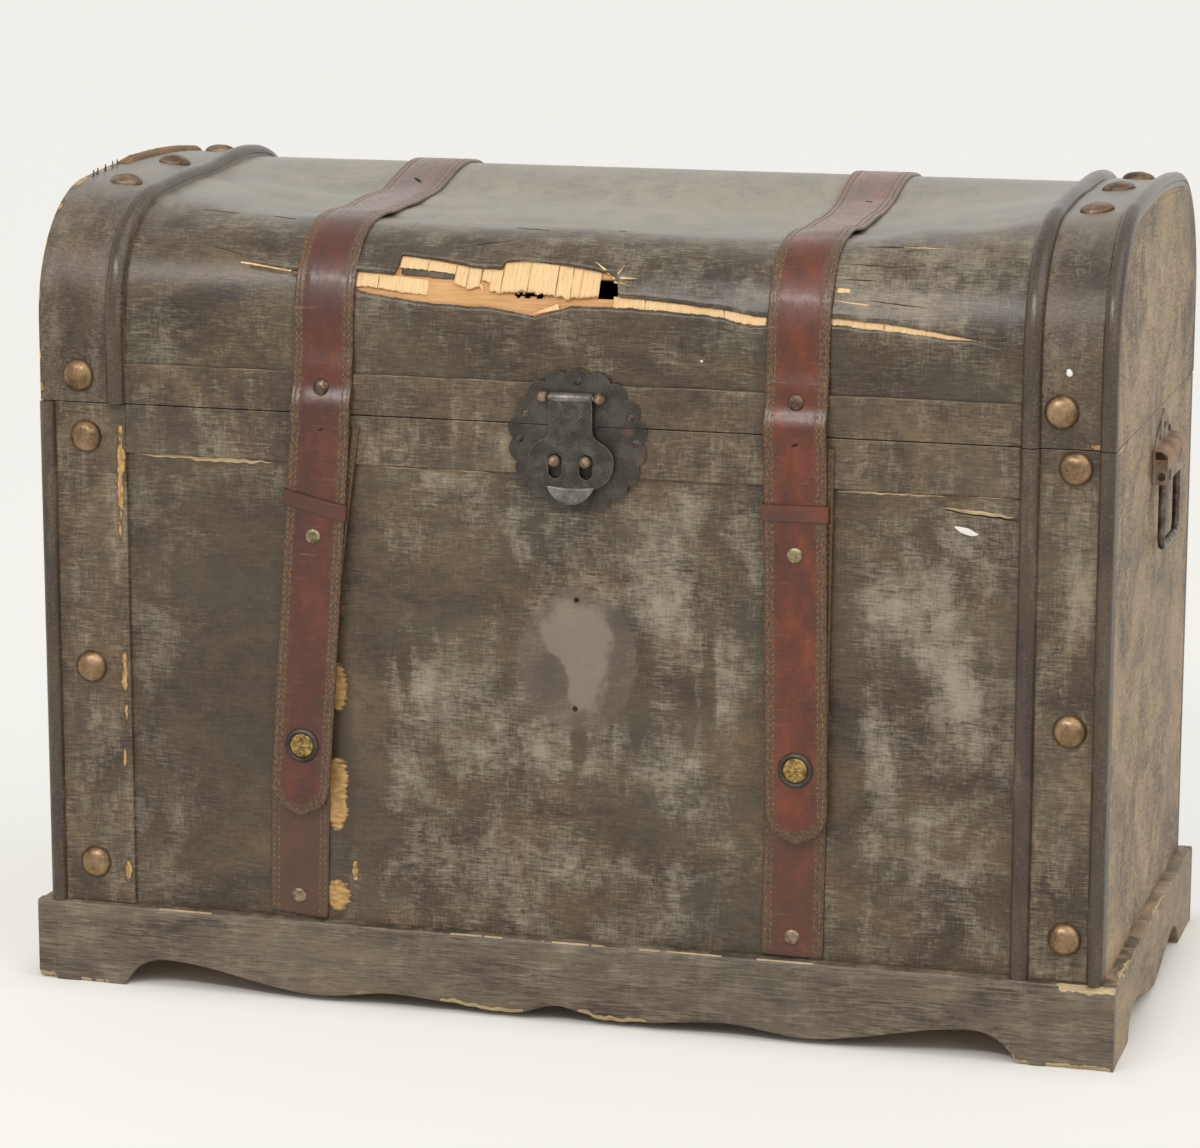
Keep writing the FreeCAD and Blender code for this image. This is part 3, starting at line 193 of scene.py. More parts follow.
def on_front(x, z, h=0.0):
    """A point on the case front, h out of it."""
    return Vector((x, FRONT - h, z))


def loft(rings, capped=True):
    """Points and faces of a skin over closed rings of equal length."""
    count = len(rings[0])
    points = [point for ring in rings for point in ring]
    faces = []
    for start in range(0, len(points) - count, count):
        for spoke in range(count):
            beside = (spoke + 1) % count
            faces.append((start + spoke, start + beside, start + count + beside, start + count + spoke))
    if capped:
        faces.append(tuple(range(count)))
        faces.append(tuple(range(len(points) - count, len(points))))
    return points, faces


def sheet_faces(columns, rows, skip=None):
    """Faces of a grid stored column by column, which look out of the front."""
    faces = []
    for c in range(columns - 1):
        for r in range(rows - 1):
            if skip and skip(c, r):
                continue
            first = c * rows + r
            faces.append((first, first + rows, first + rows + 1, first + 1))
    return faces


def joined(shells):
    """Several lots of points and faces as one."""
    points, faces = [], []
    for some_points, some_faces in shells:
        start = len(points)
        points += some_points
        faces += [tuple(start + corner for corner in face) for face in some_faces]
    return points, faces


def piece(name, shell, finishes, body, slot, stands_for=(), closed=True, crease=35, maps=None):
    """A mesh piece from points in millimetres; body None leaves it to be blended."""
    points, faces = shell
    mesh = bpy.data.meshes.new(name)
    mesh.from_pydata([tuple(point * MM) for point in points], [], faces)
    for map_name, values in (maps or {}).items():
        layer = mesh.attributes.new(map_name, "FLOAT_VECTOR", "POINT")
        for item, value in zip(layer.data, values):
            item.vector = value
    shape = bmesh.new()
    shape.from_mesh(mesh)
    bmesh.ops.remove_doubles(shape, verts=shape.verts, dist=MERGE_REACH)
    if closed:
        bmesh.ops.recalc_face_normals(shape, faces=shape.faces)
    shape.to_mesh(mesh)
    shape.free()
    mesh.shade_smooth()
    mesh.set_sharp_from_angle(angle=math.radians(crease))
    thing = bpy.data.objects.new(name, mesh)
    scene.collection.objects.link(thing)
    for finish in finishes:
        mesh.materials.append(finish)
    if body:
        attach(thing, body)
    if stands_for:
        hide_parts(*stands_for)
    return thing


def thicken(thing, thickness, inside_finish=0, rim_finish=None):
    """Give a sheet its thickness, inwards; finishes count on from the sheet's own."""
    wall = thing.modifiers.new("thickness", "SOLIDIFY")
    wall.thickness = thickness * MM
    wall.offset = -1
    wall.material_offset = inside_finish
    wall.material_offset_rim = inside_finish if rim_finish is None else rim_finish


# Materials. Fibres and scratches are drawn coarser than real ones, so that they show at the photo's size


def paint(code):
    """Linear colour of an sRGB hex code."""
    parts = [int(code[start:start + 2], 16) / 255 for start in (1, 3, 5)]
    linear = [part / 12.92 if part <= 0.04045 else ((part + 0.055) / 1.055) ** 2.4 for part in parts]
    return (*linear, 1.0)


def wire(tree, node, inputs):
    """Give a node's inputs their values or links."""
    for socket, value in inputs.items():
        if isinstance(value, bpy.types.NodeSocket):
            tree.links.new(value, node.inputs[socket])
        else:
            node.inputs[socket].default_value = value


def add(tree, kind, inputs=None, stops=(), **settings):
    """Add a node with its settings, its inputs and its colour stops; gives its outputs."""
    node = tree.nodes.new(kind)
    for name, value in settings.items():
        setattr(node, name, value)
    wire(tree, node, inputs or {})
    for number, (position, code) in enumerate(stops):
        ramp = node.color_ramp.elements
        stop = ramp[number] if number < 2 else ramp.new(position)
        stop.position = position
        stop.color = paint(code)
    return node.outputs


# Sockets of the colour mixing node, which has several of each name
MIX_FACTOR, MIX_FIRST, MIX_SECOND, MIXED = 0, 6, 7, 2


def new_finish(name):
    """A material with its node tree and its shader."""
    finish = bpy.data.materials.new(name)
    finish.use_nodes = True
    return finish, finish.node_tree, finish.node_tree.nodes["Principled BSDF"]


def flat_place(tree, across):
    """Place on an upright board in metres: across it, up it."""
    place = add(tree, "ShaderNodeTexCoord")["Object"]
    parts = add(tree, "ShaderNodeSeparateXYZ", {0: place})
    return add(tree, "ShaderNodeCombineXYZ", {0: parts[across], 1: parts["Z"]})[0]


def grain(tree, place, size, detail=4.0, roughness=0.6, swirl=0.0):
    """Noise whose features are as long as size says, in millimetres along each axis."""
    scale = [1 / (length * MM) for length in size]
    scale += [1.0] * (3 - len(scale))
    stretched = add(tree, "ShaderNodeVectorMath", {0: place, 1: scale}, operation="MULTIPLY")[0]
    inputs = {"Vector": stretched, "Scale": 1.0, "Detail": detail, "Roughness": roughness,
              "Distortion": swirl}
    return add(tree, "ShaderNodeTexNoise", inputs)[0]


def summed(tree, shares):
    """Sum of several values, each times its share."""
    total = 0.0
    for value, share in shares:
        inputs = {0: value, 1: share, 2: total}
        total = add(tree, "ShaderNodeMath", inputs, operation="MULTIPLY_ADD")[0]
    return total


def spots(tree, place, zones):
    """Soft round spots added up: each zone has a middle and a reach in millimetres, and a strength."""
    shares = []
    for middle, reach, strength in zones:
        scale = [1 / (length * MM) for length in reach] + [0.0]
        shift = [-length * MM * by for length, by in zip(middle, scale)] + [0.0]
        inputs = {0: place, 1: scale, 2: shift}
        moved = add(tree, "ShaderNodeVectorMath", inputs, operation="MULTIPLY_ADD")[0]
        spot = add(tree, "ShaderNodeTexGradient", {0: moved}, gradient_type="SPHERICAL")["Fac"]
        shares.append((spot, strength))
    return summed(tree, shares)


def laid_over(tree, colour, over, where, start, end, most=1.0):
    """A colour with another over it: none where a value is below start, most of it from end on."""
    inputs = {0: where, 1: start, 2: end, 3: 0.0, 4: most}
    share = add(tree, "ShaderNodeMapRange", inputs, interpolation_type="SMOOTHSTEP")[0]
    over = paint(over) if isinstance(over, str) else over
    inputs = {MIX_FACTOR: share, MIX_FIRST: colour, MIX_SECOND: over}
    return add(tree, "ShaderNodeMix", inputs, data_type="RGBA")[MIXED]


# Shift between the pattern of a stain and that of its haze and chalk, so that they don't follow each other
CHALK_SHIFT = (0.37, 0.21, 0.0)


def rubbed_wood(tree, place, zones, tones, patch, fibre, cross, spread, chalk):
    """Stained wood, worn: its colour, its scratches and how chalky it is.

    Fine scratches both ways and a slow cloud make the stain, with an olive haze in places. Chalk lies in the
    same scratches, gathered in swirled patches and in wipes down the board.
    """
    level = grain(tree, place, fibre, 5.0, 0.7, 1.0)
    upright = grain(tree, place, (fibre[1], 0.8 * fibre[0]), 4.0, 0.7, 0.4)
    scratches = summed(tree, ((level, 1 - cross), (upright, cross)))
    cloud = grain(tree, place, [1.6 * length for length in patch], 7.0, 0.68, 0.6)
    depth = summed(tree, ((scratches, 0.52), (cloud, 0.48)))
    stops = zip((0.5 - spread, 0.5 + spread, 0.5), tones)
    stain = add(tree, "ShaderNodeValToRGB", {0: depth}, stops)[0]
    moved = add(tree, "ShaderNodeVectorMath", {0: place, 1: CHALK_SHIFT}, operation="ADD")[0]
    haze = grain(tree, moved, [2.2 * length for length in patch], 5.0, 0.6)
    stain = laid_over(tree, stain, tones[4], haze, 0.48, 0.62, 0.4)
    patches = grain(tree, moved, patch, 8.0, 0.68, 0.8)
    wipes = grain(tree, moved, (0.3 * patch[0], 1.5 * patch[1]), 6.0, 0.65)
    worn = spots(tree, place, zones)
    rub = summed(tree, ((patches, 1.2), (scratches, 1.4), (wipes, 0.9), (worn, 0.22)))
    inputs = {0: rub, 1: chalk[0], 2: chalk[1], 3: 0.0, 4: 0.75}
    chalky = add(tree, "ShaderNodeMapRange", inputs, interpolation_type="SMOOTHSTEP")[0]
    inputs = {MIX_FACTOR: chalky, MIX_FIRST: stain, MIX_SECOND: paint(tones[3])}
    colour = add(tree, "ShaderNodeMix", inputs, data_type="RGBA")[MIXED]
    return colour, scratches, chalky


# Dark, warm and middle tone of each stain, the chalky tone where it is rubbed and the tone of its haze
PLY_TONES = ("#33291e", "#6b553d", "#524230", "#a99f8b", "#4c483a")
DOME_TONES = ("#2f261c", "#67553d", "#4a3c2c", "#a0967f", "#4a4638")
END_TONES = ("#4f3e2b", "#a78a67", "#846c50", "#c6b297", "#89775f")
TRIM_TONES = ("#362b20", "#705c45", "#554433", "#a3967f", "#504a3c")
DOME_TRIM_TONES = ("#33291f", "#6e5a43", "#524233", "#8f8371", "#4c463a")
BEAD_TONES = ("#32281f", "#5a4a39", "#46392d", "#85796a", "#40382d")
SKIRT_TONES = ("#3d3328", "#796853", "#615446", "#9a8d78", "#5b5448")
# Bare wood inside the trunk: dark, pale and middle tone, where they lie, and its grain in millimetres
BARE_TONES = ("#8f7150", "#c3a47c", "#ab8b64")
BARE_PLACES = (0.25, 0.75, 0.5)
BARE_GRAIN = (30, 30, 1.5)
# Wood that shows where glue or a bead took the stain off
SCRAPED_TONES = ("#8c683c", "#c9a46a", "#b08a52")

# Rubbed and kept zones of the front: middle, reach and strength
FRONT_ZONES = (((-300, 335), (45, 90), 0.4), ((-292, 118), (45, 50), 0.5), ((-245, 240), (60, 230), -1.8),
               ((-148, 250), (26, 260), -1.8), ((-80, 362), (75, 40), 0.3), ((105, 384), (75, 34), 0.7),
               ((78, 312), (32, 75), 1.3), ((126, 262), (26, 55), 1.4), ((-90, 250), (52, 40), 1.2),
               ((-112, 190), (45, 75), 1.0), ((-20, 205), (75, 40), 1.0), ((84, 188), (28, 60), 1.2),
               ((-30, 118), (150, 34), 0.9), ((-74, 316), (62, 36), -1.6), ((46, 148), (62, 34), -1.5),
               ((262, 330), (50, 75), 1.5), ((290, 270), (34, 70), 1.4), ((235, 205), (30, 70), 1.0),
               ((284, 140), (40, 50), 0.9), ((210, 250), (18, 250), -1.6), ((143, 180), (18, 160), -1.2))
# Brown dribbles down the front: narrow zones with no chalk
DRIBBLES = tuple(((x, z), (7, half), -3.0) for x, z, half in
                 ((111, 251, 44), (96, 238, 36), (-119, 257, 32), (14, 208, 24), (57, 234, 30)))
# The badge's mark, its dark blotches and its bleached middle: middle, reach and strength
BADGE_RING = (((13, 272), (47, 55), 1.0),)
BLOTCHES = (((-12, 258), (26, 30), 1.0), ((43, 304), (22, 18), 1.0))
BLEACHED = (((12, 289), (35, 36), 1.0), ((18, 256), (21, 36), 0.7), ((-11, 256), (20, 22), -1.1))
# Layers of that mark: zones, share of mottle, tone, where the layer starts and is full, most of it
BADGE_LAYERS = ((BADGE_RING, 0.2, "#665a4e", 0.1, 0.2, 0.55), (BLOTCHES, 0.6, "#463e36", 0.5, 1.1, 0.6),
                (BLEACHED, 0.9, "#8f8475", 0.58, 0.86, 0.6))


def badge_ghost(tree, place, colour):
    """The mark of a lost round badge: a smooth dull ring with dark blotches round a bleached middle."""
    mottle = grain(tree, place, (15, 18), 6.0, 0.65)
    for zones, share, tone, start, end, most in BADGE_LAYERS:
        layer = summed(tree, ((spots(tree, place, zones), 1.0), (mottle, share)))
        colour = laid_over(tree, colour, tone, layer, start, end, most)
    return colour


def raw_marks(tree, place, colour, marks, comb):
    """Bare spots where the stain came off: tan wood in a scorched rim, ragged along the grain."""
    ragged = summed(tree, ((spots(tree, place, marks), 1.0), (grain(tree, place, comb, 6.0, 0.75), 1.0)))
    stops = zip((0.34, 0.66, 0.5), SCRAPED_TONES)
    bare = add(tree, "ShaderNodeValToRGB", {0: grain(tree, place, comb)}, stops)[0]
    rimmed = laid_over(tree, colour, "#453021", ragged, 0.62, 0.9, 0.8)
    return laid_over(tree, rimmed, bare, ragged, 0.84, 1.04)


# Bare spots left by glue beside the left strap and by the lost bead: middle, reach and strength
GLUE_MARKS = (((-171, 240), (13, 30), 1.0), ((-172, 172), (14, 22), 1.0), ((-172, 146), (13, 24), 1.0),
              ((-172, 81), (15, 18), 1.1), ((-158.5, 101), (4, 13), 0.9))
BEAD_MARKS = (((-337, 424), (5, 12), 0.62), ((-337, 402), (5, 19), 1.0), ((-338, 376), (4, 20), 0.95),
              ((-338.5, 350), (3, 16), 0.7), ((-337.5, 250), (4, 14), 0.8), ((-338, 234), (4.5, 13), 0.9),
              ((-337, 210), (3, 12), 0.65), ((-339, 176), (3, 16), 0.7), ((-338, 88), (4.5, 13), 0.9))
# Bare spots on the lid's left edge, where its bead is gone, and on the right corner of the seam
LID_EDGE_MARKS = (((-399, 10), (4, 8), 0.8), ((-400, 34), (3, 12), 0.7), ((-400, 76), (3.5, 16), 0.75),
                  ((-400, 116), (3, 12), 0.7), ((-399, 150), (4, 14), 0.7), ((-397, 190), (6, 30), 0.75),
                  ((-396, 236), (6, 30), 0.75), ((-396, 282), (6, 30), 0.75), ((386, 2), (9, 4), 0.8))


def bare_inside(tree, colour):
    """Bare wood on the side of a board that faces into the trunk."""
    spot = add(tree, "ShaderNodeTexCoord")
    level = add(tree, "ShaderNodeVectorMath", {0: spot["Object"], 1: (1, 1, 0)}, operation="MULTIPLY")[0]
    inputs = {0: level, 1: spot["Normal"]}
    outward = add(tree, "ShaderNodeVectorMath", inputs, operation="DOT_PRODUCT")["Value"]
    lines = grain(tree, spot["Object"], BARE_GRAIN)
    bare = add(tree, "ShaderNodeValToRGB", {0: lines}, zip(BARE_PLACES, BARE_TONES))[0]
    return laid_over(tree, bare, colour, outward, -60 * MM, -30 * MM)


def stained_ply(name, tones, zones, across="X", carried=None, patch=(60, 42), fibre=(12, 1.5), cross=0.3,
                spread=0.085, chalk=(1.66, 2.3), shine=(0.45, 0.7), relief=0.3, marks=None, panel=False):
    """Thin plywood, brush-stained dark: a dull brown skin, finely scratched, chalky where it is rubbed."""
    finish, tree, shader = new_finish(name)
    if carried:
        place = add(tree, "ShaderNodeAttribute", attribute_name=carried)["Vector"]
    else:
        place = flat_place(tree, across)
    colour, scratches, chalky = rubbed_wood(tree, place, zones, tones, patch, fibre, cross, spread, chalk)
    if marks:
        colour = marks(tree, place, colour)
    if panel:
        colour = bare_inside(tree, colour)
    dull = add(tree, "ShaderNodeMapRange", {0: chalky, 1: 0.0, 2: 0.6, 3: shine[0], 4: shine[1]})[0]
    bump = add(tree, "ShaderNodeBump", {"Height": scratches, "Strength": relief, "Distance": 0.4 * MM})[0]
    wire(tree, shader, {"Base Color": colour, "Roughness": dull, "Normal": bump})
    return finish


# Dark strip of old glue beside the left strap and the darker left side of the front
GLUE_STRIP = (((-172, 165), (22, 150), 1.0),)
DARK_SIDE = (((-300, 250), (150, 300), 1.0),)
# Size of the ragged combs in the bare spots of the front and of the narrow bands
FRONT_COMB, BAND_COMB = (8, 3), (2.6, 7)


def front_marks(tree, place, colour):
    """Marks on the case front: a dark left side, old glue beside the left strap and the badge's ghost."""
    colour = laid_over(tree, colour, "#3b3125", spots(tree, place, GLUE_STRIP), 0.1, 0.6, 0.7)
    colour = laid_over(tree, colour, "#2f271d", spots(tree, place, DARK_SIDE), 0.0, 0.6, 0.3)
    return badge_ghost(tree, place, raw_marks(tree, place, colour, GLUE_MARKS, FRONT_COMB))


def bead_marks(tree, place, colour):
    """Bare spots on the left corner band, where a bead is gone."""
    return raw_marks(tree, place, colour, BEAD_MARKS, BAND_COMB)


def from_lid_edge(tree, run):
    """Way along the dome from the nearer of the lid's front and back edges."""
    from_back = add(tree, "ShaderNodeMath", {0: DOME_RUN * MM, 1: run}, operation="SUBTRACT")[0]
    return add(tree, "ShaderNodeMath", {0: run, 1: from_back}, operation="MINIMUM")[0]


def crown_dust_and_sheen(tree, place, colour):
    """Pale layer over the top of the lid: dust and wear, and painted sheen where the top catches the light.
    """
    up = from_lid_edge(tree, add(tree, "ShaderNodeSeparateXYZ", {0: place})[1])
    crown_reach = summed(tree, ((up, 1.0), (grain(tree, place, (48, 30), 6.0, 0.65), 0.16)))
    # The pale tone is partly dust and partly painted sheen on the top of the lid
    return laid_over(tree, colour, "#aeaaa0", crown_reach, 0.19, 0.32, 0.38)


def lid_edge_marks(tree, place, colour):
    """Dust and painted sheen, and bare spots, on the bands over the lid."""
    return raw_marks(tree, place, crown_dust_and_sheen(tree, place, colour), LID_EDGE_MARKS, BAND_COMB)


def raw_wood(name, tones, fibre):
    """Unstained wood, torn, chipped or worn bare, or a dry crust of paint: matt, with short fibres."""
    finish, tree, shader = new_finish(name)
    lines = grain(tree, add(tree, "ShaderNodeTexCoord")["Object"], fibre)
    colour = add(tree, "ShaderNodeValToRGB", {0: lines}, zip(BARE_PLACES, tones))[0]
    bump = add(tree, "ShaderNodeBump", {"Height": lines, "Strength": 0.3, "Distance": 0.4 * MM})[0]
    wire(tree, shader, {"Base Color": colour, "Roughness": 0.7, "Normal": bump})
    return finish


def oxblood_leather(name, field_tones):
    """Dyed cowhide, burnished: a red-brown field, worn drab along its stitched edges, pale on the crown,
    faded and with painted sheen.
    """
    finish, tree, shader = new_finish(name)
    place = add(tree, "ShaderNodeAttribute", attribute_name="strap_map")["Vector"]
    parts = add(tree, "ShaderNodeSeparateXYZ", {0: place})
    off_middle = add(tree, "ShaderNodeAttribute", attribute_name="strap_edge")["Vector"]
    off_middle = add(tree, "ShaderNodeSeparateXYZ", {0: off_middle})[0]
    blotch = grain(tree, place, (22, 40), 6.0, 0.62)
    crease = grain(tree, place, (1.8, 2.2), 5.0, 0.7)
    scuff = grain(tree, place, (4, 8), 5.0, 0.7)
    dye = summed(tree, ((blotch, 0.75), (crease, 0.25)))
    field = add(tree, "ShaderNodeValToRGB", {0: dye}, zip((0.36, 0.64, 0.5), field_tones))[0]
    stops = ((0.38, "#352417"), (0.62, "#765536"), (0.5, "#543a25"))
    drab = add(tree, "ShaderNodeValToRGB", {0: crease}, stops)[0]
    edge = summed(tree, ((off_middle, 1.0), (scuff, 14.0 * MM)))
    hide = laid_over(tree, field, drab, edge, 19.5 * MM, 25.5 * MM, 0.9)
    worn_line = grain(tree, place, (30, 2.4), 4.0, 0.7)
    hide = laid_over(tree, hide, "#a07c68", worn_line, 0.6, 0.72, 0.35)
    # Over the crown the leather pales: partly faded, partly painted sheen where the top catches the light
    up = from_lid_edge(tree, parts[1])
    hide = laid_over(tree, hide, "#a48c80", up, 120 * MM, 215 * MM, 0.32)
    dulled = add(tree, "ShaderNodeMath", {0: parts[2], 1: 0.6}, operation="MULTIPLY")[0]
    inputs = {MIX_FACTOR: dulled, MIX_FIRST: hide, MIX_SECOND: paint("#4d3a2b")}
    hide = add(tree, "ShaderNodeMix", inputs, data_type="RGBA")[MIXED]
    shine = add(tree, "ShaderNodeMapRange", {0: scuff, 1: 0.35, 2: 0.65, 3: 0.3, 4: 0.46})[0]
    bump = add(tree, "ShaderNodeBump", {"Height": crease, "Strength": 0.35, "Distance": 0.35 * MM})[0]
    wire(tree, shader, {"Base Color": hide, "Roughness": shine, "Normal": bump, "Coat Weight": 0.2,
                        "Coat Roughness": 0.16})
    return finish


def waxed_thread(name):
    """Waxed linen thread, dark with age: dull, with a fine lay across each stitch."""
    finish, tree, shader = new_finish(name)
    lay = grain(tree, add(tree, "ShaderNodeTexCoord")["Object"], (2.0, 2.0, 2.0), 3.0)
    colour = add(tree, "ShaderNodeValToRGB", {0: lay}, ((0.3, "#46301e"), (0.7, "#94744f")))[0]
    wire(tree, shader, {"Base Color": colour, "Roughness": 0.7})
    return finish


def aged_metal(name, tones, size=7.0, shine=(0.3, 0.6), metallic=0.85, dents=0.35, rusted=(),
               rust_tone="#6e5040"):
    """Old metal under patina: blotched from dark to worn, duller where it is dark, rusty in a few spots."""
    finish, tree, shader = new_finish(name)
    place = add(tree, "ShaderNodeTexCoord")["Object"]
    patina = grain(tree, place, (size, size, size), 6.0, 0.65)
    speck = grain(tree, place, (1.3, 1.3, 1.3), 3.0)
    mixed = summed(tree, ((patina, 1.0), (speck, 0.35)))
    colour = add(tree, "ShaderNodeValToRGB", {0: mixed}, zip((0.5, 0.86, 0.66), tones))[0]
    if rusted:
        rust = summed(tree, ((spots(tree, flat_place(tree, "X"), rusted), 1.0), (mixed, 0.9)))
        colour = laid_over(tree, colour, rust_tone, rust, 0.75, 1.6, 0.7)
    dull = add(tree, "ShaderNodeMapRange", {0: mixed, 1: 0.5, 2: 0.85, 3: shine[1], 4: shine[0]})[0]
    bump = add(tree, "ShaderNodeBump", {"Height": mixed, "Strength": dents, "Distance": 0.5 * MM})[0]
    wire(tree, shader, {"Base Color": colour, "Roughness": dull, "Normal": bump, "Metallic": metallic})
    return finish


def crack_shadow(name):
    """Painted shadow for the dark inside of a split, a slit or a nail hole: near-black brown and matt."""
    finish, tree, shader = new_finish(name)
    shadow_mottle = grain(tree, add(tree, "ShaderNodeTexCoord")["Object"], (3, 3, 3))
    colour = add(tree, "ShaderNodeValToRGB", {0: shadow_mottle}, ((0.3, "#0d0a08"), (0.8, "#2a2019")))[0]
    wire(tree, shader, {"Base Color": colour, "Roughness": 0.9})
    return finish


# Rubbed and kept zones of the other boards: middle, reach and strength
# On the dome the first zone chalks the whole top of the lid: rubbed wear, made stronger as painted sheen
# where the top catches the light
DOME_ZONES = (((0, 300), (700, 190), 2.0), ((0, 40), (480, 60), -0.6), ((-300, 40), (60, 40), 0.5),
              ((-300, 110), (90, 60), -0.9), ((250, 110), (120, 60), 0.9))
END_ZONES = (((0, 250), (220, 260), 0.3), ((0, 520), (230, 130), 0.6))
TRIM_ZONES = (((376, 355), (20, 75), 1.8), ((-367, 250), (40, 190), -0.2), ((0, 459), (420, 22), -0.9))
LID_TRIM_ZONES = (((0, 280), (700, 160), 0.9),)
BEAD_ZONES = (((0, 250), (700, 600), -0.3),)
LID_BEAD_ZONES = (((0, 260), (700, 160), 0.2),)
SKIRT_ZONES = (((0, 60), (600, 26), 0.2),)
SKIRT_END_ZONES = (((0, 60), (300, 26), 0.3),)
# Rust on the lock plate and on both handle brackets
LOCK_RUST = (((52, 441), (9, 6), 1.0), ((61, 419), (5, 9), 0.9), ((64, 428), (4, 5), 0.7))
HANDLE_RUST = (((406, 410), (30, 14), 0.9), ((-406, 410), (30, 14), 0.9))
# What the beads and what the skirt boards have in common
BEAD_LOOK = {"patch": (14, 60), "fibre": (3, 1.3), "spread": 0.1, "chalk": (1.7, 2.4), "relief": 0.12}
SKIRT_LOOK = {"patch": (70, 26), "fibre": (24, 1.3), "cross": 0.12}

# Stained plywood and trim
PLY = stained_ply("stained_ply", PLY_TONES, FRONT_ZONES[:4], panel=True)
FRONT_PLY = stained_ply("stained_front_ply", PLY_TONES, FRONT_ZONES + DRIBBLES, marks=front_marks, panel=True)
# The dome's stain is paled over its top by dust and painted sheen
DOME_PLY = stained_ply("stained_dome_ply", DOME_TONES, DOME_ZONES, carried="ply_map", patch=(66, 40),
                       shine=(0.3, 0.44), marks=crown_dust_and_sheen)
END_PLY = stained_ply("stained_end_ply", END_TONES, END_ZONES, across="Y", patch=(62, 48), spread=0.055,
                      shine=(0.55, 0.75), panel=True)
TRIM = stained_ply("dark_trim", TRIM_TONES, TRIM_ZONES, patch=(34, 50), marks=bead_marks)
DOME_TRIM = stained_ply("dark_dome_trim", DOME_TRIM_TONES, LID_TRIM_ZONES, carried="ply_map", patch=(34, 50),
                        fibre=(5, 1.3), shine=(0.36, 0.5), relief=0.4, marks=lid_edge_marks)
BEAD_TRIM = stained_ply("worn_bead", BEAD_TONES, BEAD_ZONES, shine=(0.3, 0.5), **BEAD_LOOK)
DOME_BEAD = stained_ply("worn_dome_bead", BEAD_TONES, LID_BEAD_ZONES, carried="ply_map", shine=(0.26, 0.42),
                        **BEAD_LOOK)
SKIRT_STAIN = stained_ply("skirt_wood", SKIRT_TONES, SKIRT_ZONES, **SKIRT_LOOK)
SKIRT_END_STAIN = stained_ply("skirt_end_wood", END_TONES, SKIRT_END_ZONES, across="Y", shine=(0.55, 0.75),
                              **SKIRT_LOOK)

# Wood without stain, from silky fresh veneer to grey worn edges, and a white crust of paint
RAW = raw_wood("raw_veneer", ("#d5a974", "#f2d1a2", "#e9c491"), (1.0, 24, 12))
RAW_UNDER = raw_wood("raw_under_ply", ("#b98a56", "#dfb27e", "#d09e68"), (26, 3, 1.2))
CHIP = raw_wood("raw_chip", ("#8c7654", "#d8c29b", "#b9a17a"), (18, 3.0, 1.5))
# It also draws the pale line along the top of the lid's rim, partly painted highlight
RIM_EDGE = raw_wood("worn_rim_edge", ("#6b5c48", "#a59479", "#897861"), (18, 3.0, 1.5))
STUB_WOOD = raw_wood("bead_stub_wood", ("#5e4330", "#a17f5d", "#7f6046"), (3, 22, 22))
INNER_WOOD = raw_wood("plain_wood", BARE_TONES, BARE_GRAIN)
PAINT_FLECK = raw_wood("dried_paint", ("#d8d5cc", "#f4f2ec", "#e8e6de"), (3, 3, 3))
DARK = crack_shadow("crack_shadow")

# Leather, redder and deeper on the left strap, and its thread
LEATHER = oxblood_leather("oxblood_leather", ("#421908", "#773415", "#5d260d"))
DEEP_LEATHER = oxblood_leather("deep_oxblood_leather", ("#3a1206", "#682911", "#4f1c09"))
HIDES = {"left": DEEP_LEATHER, "right": LEATHER}
THREAD = waxed_thread("waxed_thread")

# Brass, bronze and copper, browned by handling
NAIL_BRASS = aged_metal("browned_brass", ("#5c4835", "#aa8f6f", "#8a7053"), size=18.0, shine=(0.3, 0.42),
                        dents=0.1)
CROWN_BRASS = aged_metal("dark_browned_brass", ("#4a3b2f", "#937a64", "#6f5a48"), size=14.0,
                         shine=(0.4, 0.55), dents=0.15)
BRASS = aged_metal("aged_brass", ("#5b4829", "#bfa064", "#8f7545"), size=4.0)
RIVET_BRASS = aged_metal("dulled_brass", ("#574e39", "#a89b76", "#857a5d"), size=5.0)
PIN_BRONZE = aged_metal("worn_bronze", ("#57483c", "#ab947f", "#85705e"), size=5.0)
COPPER = aged_metal("browned_copper", ("#3a2d26", "#7d6656", "#59463a"), size=5.0)

# Iron and steel: near black under patina, grey where it is rubbed, rusty on the handles
IRON = aged_metal("patinated_iron", ("#2e2a25", "#554f46", "#3f3a33"), size=20.0, metallic=0.45, dents=0.2,
                  rusted=LOCK_RUST)
HASP_IRON = aged_metal("rubbed_iron", ("#302c27", "#5a554d", "#403b35"), size=9.0, metallic=0.45, dents=0.25)
WORN_IRON = aged_metal("worn_iron", ("#4e4943", "#8c867e", "#6c675f"), size=14.0, metallic=0.6, dents=0.15)
RUST = aged_metal("rusty_iron", ("#5a4d42", "#ae9a84", "#8d7967"), size=16.0, shine=(0.5, 0.75),
                  metallic=0.35, dents=0.15, rusted=HANDLE_RUST, rust_tone="#9c6b4b")
BAIL_IRON = aged_metal("dark_rod_iron", ("#2b2622", "#7d7064", "#4a423b"), size=8.0, metallic=0.6)
STEEL = aged_metal("hinge_steel", ("#58534b", "#7f796f", "#6b665d"), size=16.0)


def round_edges(thing, width, finish=-1):
    """Wear the sharp edges of a piece round; finish is the number of the one that the rounds take."""
    edge = thing.modifiers.new("worn_edge", "BEVEL")
    edge.width = width * MM
    edge.segments = 2
    edge.limit_method = "ANGLE"
    edge.angle_limit = math.radians(50)
    edge.material = finish


def dress(node, finish, round_edge=0.0):
    """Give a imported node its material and, where it has sharp board edges, a worn round on them."""
    thing = cad[node]
    if not thing.material_slots:
        thing.data.materials.append(finish)
    for holder in thing.material_slots:
        holder.link = "OBJECT"
        holder.material = finish
    if round_edge:
        weld = thing.modifiers.new("weld", "WELD")
        weld.merge_threshold = WELD_REACH
        round_edges(thing, round_edge)


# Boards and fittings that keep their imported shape, with the worn round of their edges in millimetres
BOARD_ROUND, BAND_ROUND, HINGE_ROUND, BRACKET_ROUND = 0.8, 0.7, 0.3, 0.4


